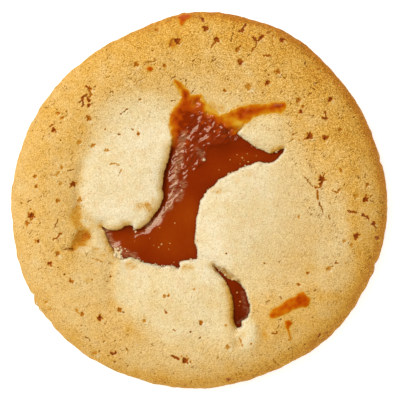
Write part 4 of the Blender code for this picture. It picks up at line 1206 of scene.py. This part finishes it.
for name, rise, deepest, pixels in SPILLS:
    outline = from_photo(pixels)
    loop = smooth_line(closed(outline), SPILL_STEP)[::-1]
    loop = loop + np.column_stack([waves(loop, *bend) for bend in SPILL_BENDS])

    def film_share(xy):
        """0 at the ragged edge of the spill, rounded up to 1."""
        share = np.clip(-loop_distance(xy, loop, 3.0) / SPILL_SLOPE, 0, 1)
        return np.sqrt(1 - (1 - share) ** 2)

    inner = even_lattice(np.ptp(outline, axis=0).max(), SPILL_STEP) + outline.mean(axis=0)
    inner = well_inside(inner, loop, 0.08)
    edge = raised(loop, lambda xy: surface_height(xy) - SPILL_SUNK)
    points, faces, _ = welded([
        sheet([edge], inner,
              lambda xy: surface_height(xy) + rise * film_share(xy) * (1 + waves(xy, *SPILL_WAVES)) + SPILL_ABOVE),
        sheet([edge], inner, lambda xy: surface_height(xy) - SPILL_ROOTED, facing_up=False),
    ])
    xy = points[:, :2]
    near_deepest = np.exp(-((length(xy - from_photo(deepest)) / DEEPEST_REACH) ** 2))
    thick = film_share(xy) * (SPILL_THICK + SPILL_DEEPEST * near_deepest) + waves(xy, *SPILL_TONES)
    nothing = np.zeros(len(points))
    add_piece(name, points, faces, SOAKED, "caramel", thick=thick, skin=nothing, tone=nothing, milky=nothing)

# ==== Crumbs and bubbles =========================================================================
# Loose crumbs of the same dough lie on the crust, at the torn corner and on the caramel, and small bubbles have
# set in the caramel. Each kind is one uneven ball put on many places, turned and sized at random.
# Places in pixels of the photograph, with the half width in pixels
BIG_CRUMBS = (
    (119.5, 256.5, 3.8), (117, 252.5, 3.0), (120.2, 252.6, 2.4), (115.8, 249.4, 2.0), (122, 249.6, 1.2),
    (115.2, 255, 2.2), (118.6, 248.6, 1.6), (125.5, 248.4, 0.9), (121, 246.6, 0.9), (127, 251, 0.7),
    (122.6, 258.5, 2.0), (204, 160, 1.8), (134.5, 229, 1.6), (136, 231.5, 1.2), (35.5, 295, 1.3), (38, 303, 1.7),
    (41.5, 310, 1.6), (52, 322, 1.3), (232, 279, 1.1), (225, 274.5, 1.1), (219, 270, 0.9), (243, 323, 1.5),
    (246, 321, 1.2), (85.5, 220.5, 1.6),
)
# Stretches of torn edge with crumbs along them, as pixels of the photograph: (how many, line)
CRUMBLY_EDGES = (
    (40, ((275, 153), (266, 164), (250, 166), (233, 173), (215, 184), (206, 192), (200, 202))),
    (34, ((126, 257), (138, 260), (160, 265), (178, 268), (180, 260), (197, 258))),
    (16, ((244, 139), (258, 149), (268, 154), (280, 151))),
    (12, ((197, 256), (196, 243), (196, 232))),
)
BUBBLES = (
    (237, 155, 0.9), (242, 158, 1.0), (247, 154, 0.8), (240, 164, 0.8), (248, 162, 1.0), (256, 156, 0.7),
    (244, 160.5, 0.6), (175, 223, 0.9), (160, 227.5, 1.3), (162, 244, 1.5), (159, 247, 1.0), (154, 245, 0.8),
    (170, 243, 0.9), (169, 249, 0.8), (237, 292, 1.1), (240, 301, 1.2), (239, 305, 0.7), (137, 236, 0.7),
    (135, 241, 0.6), (219, 170, 0.7), (230, 160, 0.7), (246, 100, 0.7), (150, 238, 0.5), (174, 262, 0.7),
)
CRUMB_SUNK, BUBBLE_SUNK, TORN_SUNK = 0.3, 0.35, 0.35  # as shares of their size
DUST_COUNT, DUST_SIZES, TORN_SIZES, TORN_SPREAD = 500, (0.07, 0.17), (0.1, 0.32), 0.3


def lump_tree():
    """One uneven ball on each point, as large as the point's own size."""
    tree = bpy.data.node_groups.new("lumps on points", "GeometryNodeTree")
    for kind, names in (("Geometry", ("Points",)), ("Float", ("Unevenness", "Flatness")), ("Int", ("Detail", "Seed")),
                        ("Material", ("Material",))):
        add_sockets(tree, "INPUT", kind, names)
    add_sockets(tree, "OUTPUT", "Geometry", ("Lumps",))
    start, end = tree.nodes.new("NodeGroupInput").outputs, tree.nodes.new("NodeGroupOutput")
    ball = node(tree, "GeometryNodeMeshIcoSphere", {"Radius": 1.0, "Subdivisions": start["Detail"]})
    lumps = node(tree, "ShaderNodeTexNoise", {"Scale": 1.5, "Detail": 2.0}).outputs["Fac"]
    outward = node(tree, "GeometryNodeInputPosition", {}).outputs[0]
    lumps = vector_node(tree, "SCALE", outward, times(tree, centred(tree, lumps), start["Unevenness"]))
    uneven = node(tree, "GeometryNodeSetPosition", {"Geometry": ball.outputs["Mesh"], "Offset": lumps})
    turn = node(tree, "FunctionNodeRandomValue", {1: (6.28, 6.28, 6.28), "Seed": start["Seed"]},
                data_type="FLOAT_VECTOR")
    size = node(tree, "GeometryNodeInputNamedAttribute", {"Name": "size"}, data_type="FLOAT")
    flat = node(tree, "ShaderNodeCombineXYZ", {"X": 1.0, "Y": 1.0, "Z": start["Flatness"]})
    placed = node(tree, "GeometryNodeInstanceOnPoints", {
        "Points": start["Points"], "Instance": uneven.outputs[0], "Rotation": turn.outputs[0],
        "Scale": vector_node(tree, "SCALE", flat.outputs[0], size.outputs[0])})
    real = node(tree, "GeometryNodeRealizeInstances", {"Geometry": placed.outputs[0]})
    smooth = node(tree, "GeometryNodeSetShadeSmooth", {0: real.outputs[0]})
    finished = node(tree, "GeometryNodeSetMaterial", {"Geometry": smooth.outputs[0], "Material": start["Material"]})
    tree.links.new(finished.outputs[0], end.inputs[0])
    return tree


LUMPS = lump_tree()


def scattered(name, points, sizes, material, slot, **inputs):
    """A piece made of one lump on each point."""
    piece = add_piece(name, points, np.zeros((0, 3)), material, slot, size=sizes * MM)
    modifier = piece.modifiers.new("lumps", "NODES")
    modifier.node_group = LUMPS
    sockets = {item.name: item.identifier for item in LUMPS.interface.items_tree}
    for socket, value in {**inputs, "Material": material}.items():
        modifier[sockets[socket]] = value
    finished = piece.evaluated_get(bpy.context.evaluated_depsgraph_get())
    piece.data = bpy.data.meshes.new_from_object(finished)
    piece.modifiers.clear()


def on_surface(table, height, sunk):
    """Points and half widths of lumps from a table of pixels, sunk into a surface by a share of their size."""
    table = np.array(table)
    places, sizes = from_photo(table[:, :2]), table[:, 2] * MM_PER_PIXEL
    return np.column_stack((places, height(places) - sunk * sizes)), sizes


def crumb_height(xy):
    return np.where(from_hole(xy) > 0, surface_height(xy), caramel_top(xy))


crumbs, crumb_sizes = on_surface(BIG_CRUMBS, crumb_height, CRUMB_SUNK)
draw = np.random.default_rng(5)
dust = draw.uniform(-RADIUS, RADIUS, (DUST_COUNT, 2))
dust = dust[(edge_inset(dust) > 3) & (from_hole(dust) > 0.8)]
dust_sizes = draw.uniform(*DUST_SIZES, len(dust))
dust = np.column_stack((dust, surface_height(dust) + 0.1 * dust_sizes))
torn = []
for count, pixels in CRUMBLY_EDGES:
    line = resample(from_photo(pixels), 0.1)
    torn.append(line[draw.integers(0, len(line), count)] + draw.normal(0, TORN_SPREAD, (count, 2)))
torn = np.concatenate(torn)
torn_sizes = draw.uniform(*TORN_SIZES, len(torn))
at_edge = from_hole(torn) > -0.15
torn, torn_sizes = torn[at_edge], torn_sizes[at_edge]
torn = np.column_stack((torn, crumb_height(torn) - TORN_SUNK * torn_sizes))
bubbles, bubble_sizes = on_surface(BUBBLES, caramel_top, BUBBLE_SUNK)


CRUMB_COLOURS, CRUMB_PORE = ((0.0, 244, 208, 144), (1.0, 253, 234, 190)), (196, 140, 74)
CRUMB_SIZES, CRUMB_BUMPS = (0.35, 0.5, 1.0), 0.06
BUBBLE_COLOURS, BUBBLE_CLOUD = ((0.35, 196, 104, 22), (0.65, 222, 158, 84)), 1.5


def crumb_finish():
    material, tree, shader = new_material("loose crumb")
    crumb = crumb_grain(tree, *CRUMB_SIZES)
    body = mix_colours(tree, crumb["Pores"], ramp(tree, crumb["Tone"], *CRUMB_COLOURS), colour(*CRUMB_PORE))
    feed(tree, shader, {"Base Color": body, "Roughness": 0.85, "Specular IOR Level": 0.15,
                        "Normal": bumps(tree, crumb["Height"], CRUMB_BUMPS)})
    return material


def bubble_finish():
    material, tree, shader = new_material("caramel bubble")
    cloud = noise_node(tree, object_place(tree), BUBBLE_CLOUD)
    feed(tree, shader, {"Base Color": ramp(tree, cloud, *BUBBLE_COLOURS), "Roughness": 0.15})
    return material


LOOSE_CRUMB = crumb_finish()
scattered("loose_crumbs", crumbs, crumb_sizes, LOOSE_CRUMB, "dough", Unevenness=1.5, Flatness=0.7, Detail=3, Seed=3)
scattered("torn_edge_crumbs", torn, torn_sizes, LOOSE_CRUMB, "dough", Unevenness=3.0, Flatness=0.7, Detail=2, Seed=6)
scattered("crumb_dust", dust, dust_sizes, LOOSE_CRUMB, "dough", Unevenness=1.6, Flatness=0.7, Detail=1, Seed=4)
scattered("caramel_bubbles", bubbles, bubble_sizes, bubble_finish(), "caramel", Unevenness=0.2, Flatness=0.8,
          Detail=3, Seed=5)

# ==== Studio =====================================================================================
# A plain white table, one soft light from the left, even light from all round, and a camera straight above.
TABLE_HALF, TABLE_GAP = 1500.0, 0.015  # the table is a hair below the base, so that the two don't flicker
KEY_SIZE, KEY_PLACE, KEY_POWER, KEY_TINT = 720.0, (-590, 380, 900), 8.6, (1.0, 0.99, 0.97)
EVEN_LIGHT = 0.96
CAMERA_PLACE, FRAME_WIDTH = (0.12, 0.0, 1000.0), 96.0
CAMERA_FAR_END = 10.0  # in metres

corners = [(x * TABLE_HALF, y * TABLE_HALF, -TABLE_GAP) for x, y in ((-1, -1), (1, -1), (1, 1), (-1, 1))]
mesh = bpy.data.meshes.new("table")
mesh.from_pydata((np.array(corners) * MM).tolist(), [], [(0, 1, 2, 3)])
material, tree, shader = new_material("white table")
feed(tree, shader, {"Base Color": (0.97, 0.97, 0.97, 1), "Roughness": 0.9, "Specular IOR Level": 0.0,
                    "Emission Color": (1, 1, 1, 1), "Emission Strength": 0.35})
mesh.materials.append(material)
new_object("table", mesh)

light = bpy.data.lights.new("key light", "AREA")
light.size, light.energy, light.color = KEY_SIZE * MM, KEY_POWER, KEY_TINT
lamp = new_object("key light", light)
lamp.location = Vector(KEY_PLACE) * MM
lamp.rotation_euler = (-Vector(KEY_PLACE)).to_track_quat("-Z", "Y").to_euler()
world = bpy.data.worlds.new("studio")
world.use_nodes = True
feed(world.node_tree, world.node_tree.nodes["Background"], {"Color": (1, 1, 1, 1), "Strength": EVEN_LIGHT})
world.cycles_visibility.glossy = False
bpy.context.scene.world = world

camera_data = bpy.data.cameras.new("camera")
camera_data.lens = camera_data.sensor_width * (CAMERA_PLACE[2] - WIDEST_HEIGHT) / FRAME_WIDTH
camera_data.clip_end = CAMERA_FAR_END
camera = new_object("camera", camera_data)
camera.location = Vector(CAMERA_PLACE) * MM
bpy.context.scene.camera = camera
bpy.context.scene.view_settings.view_transform = "Standard"
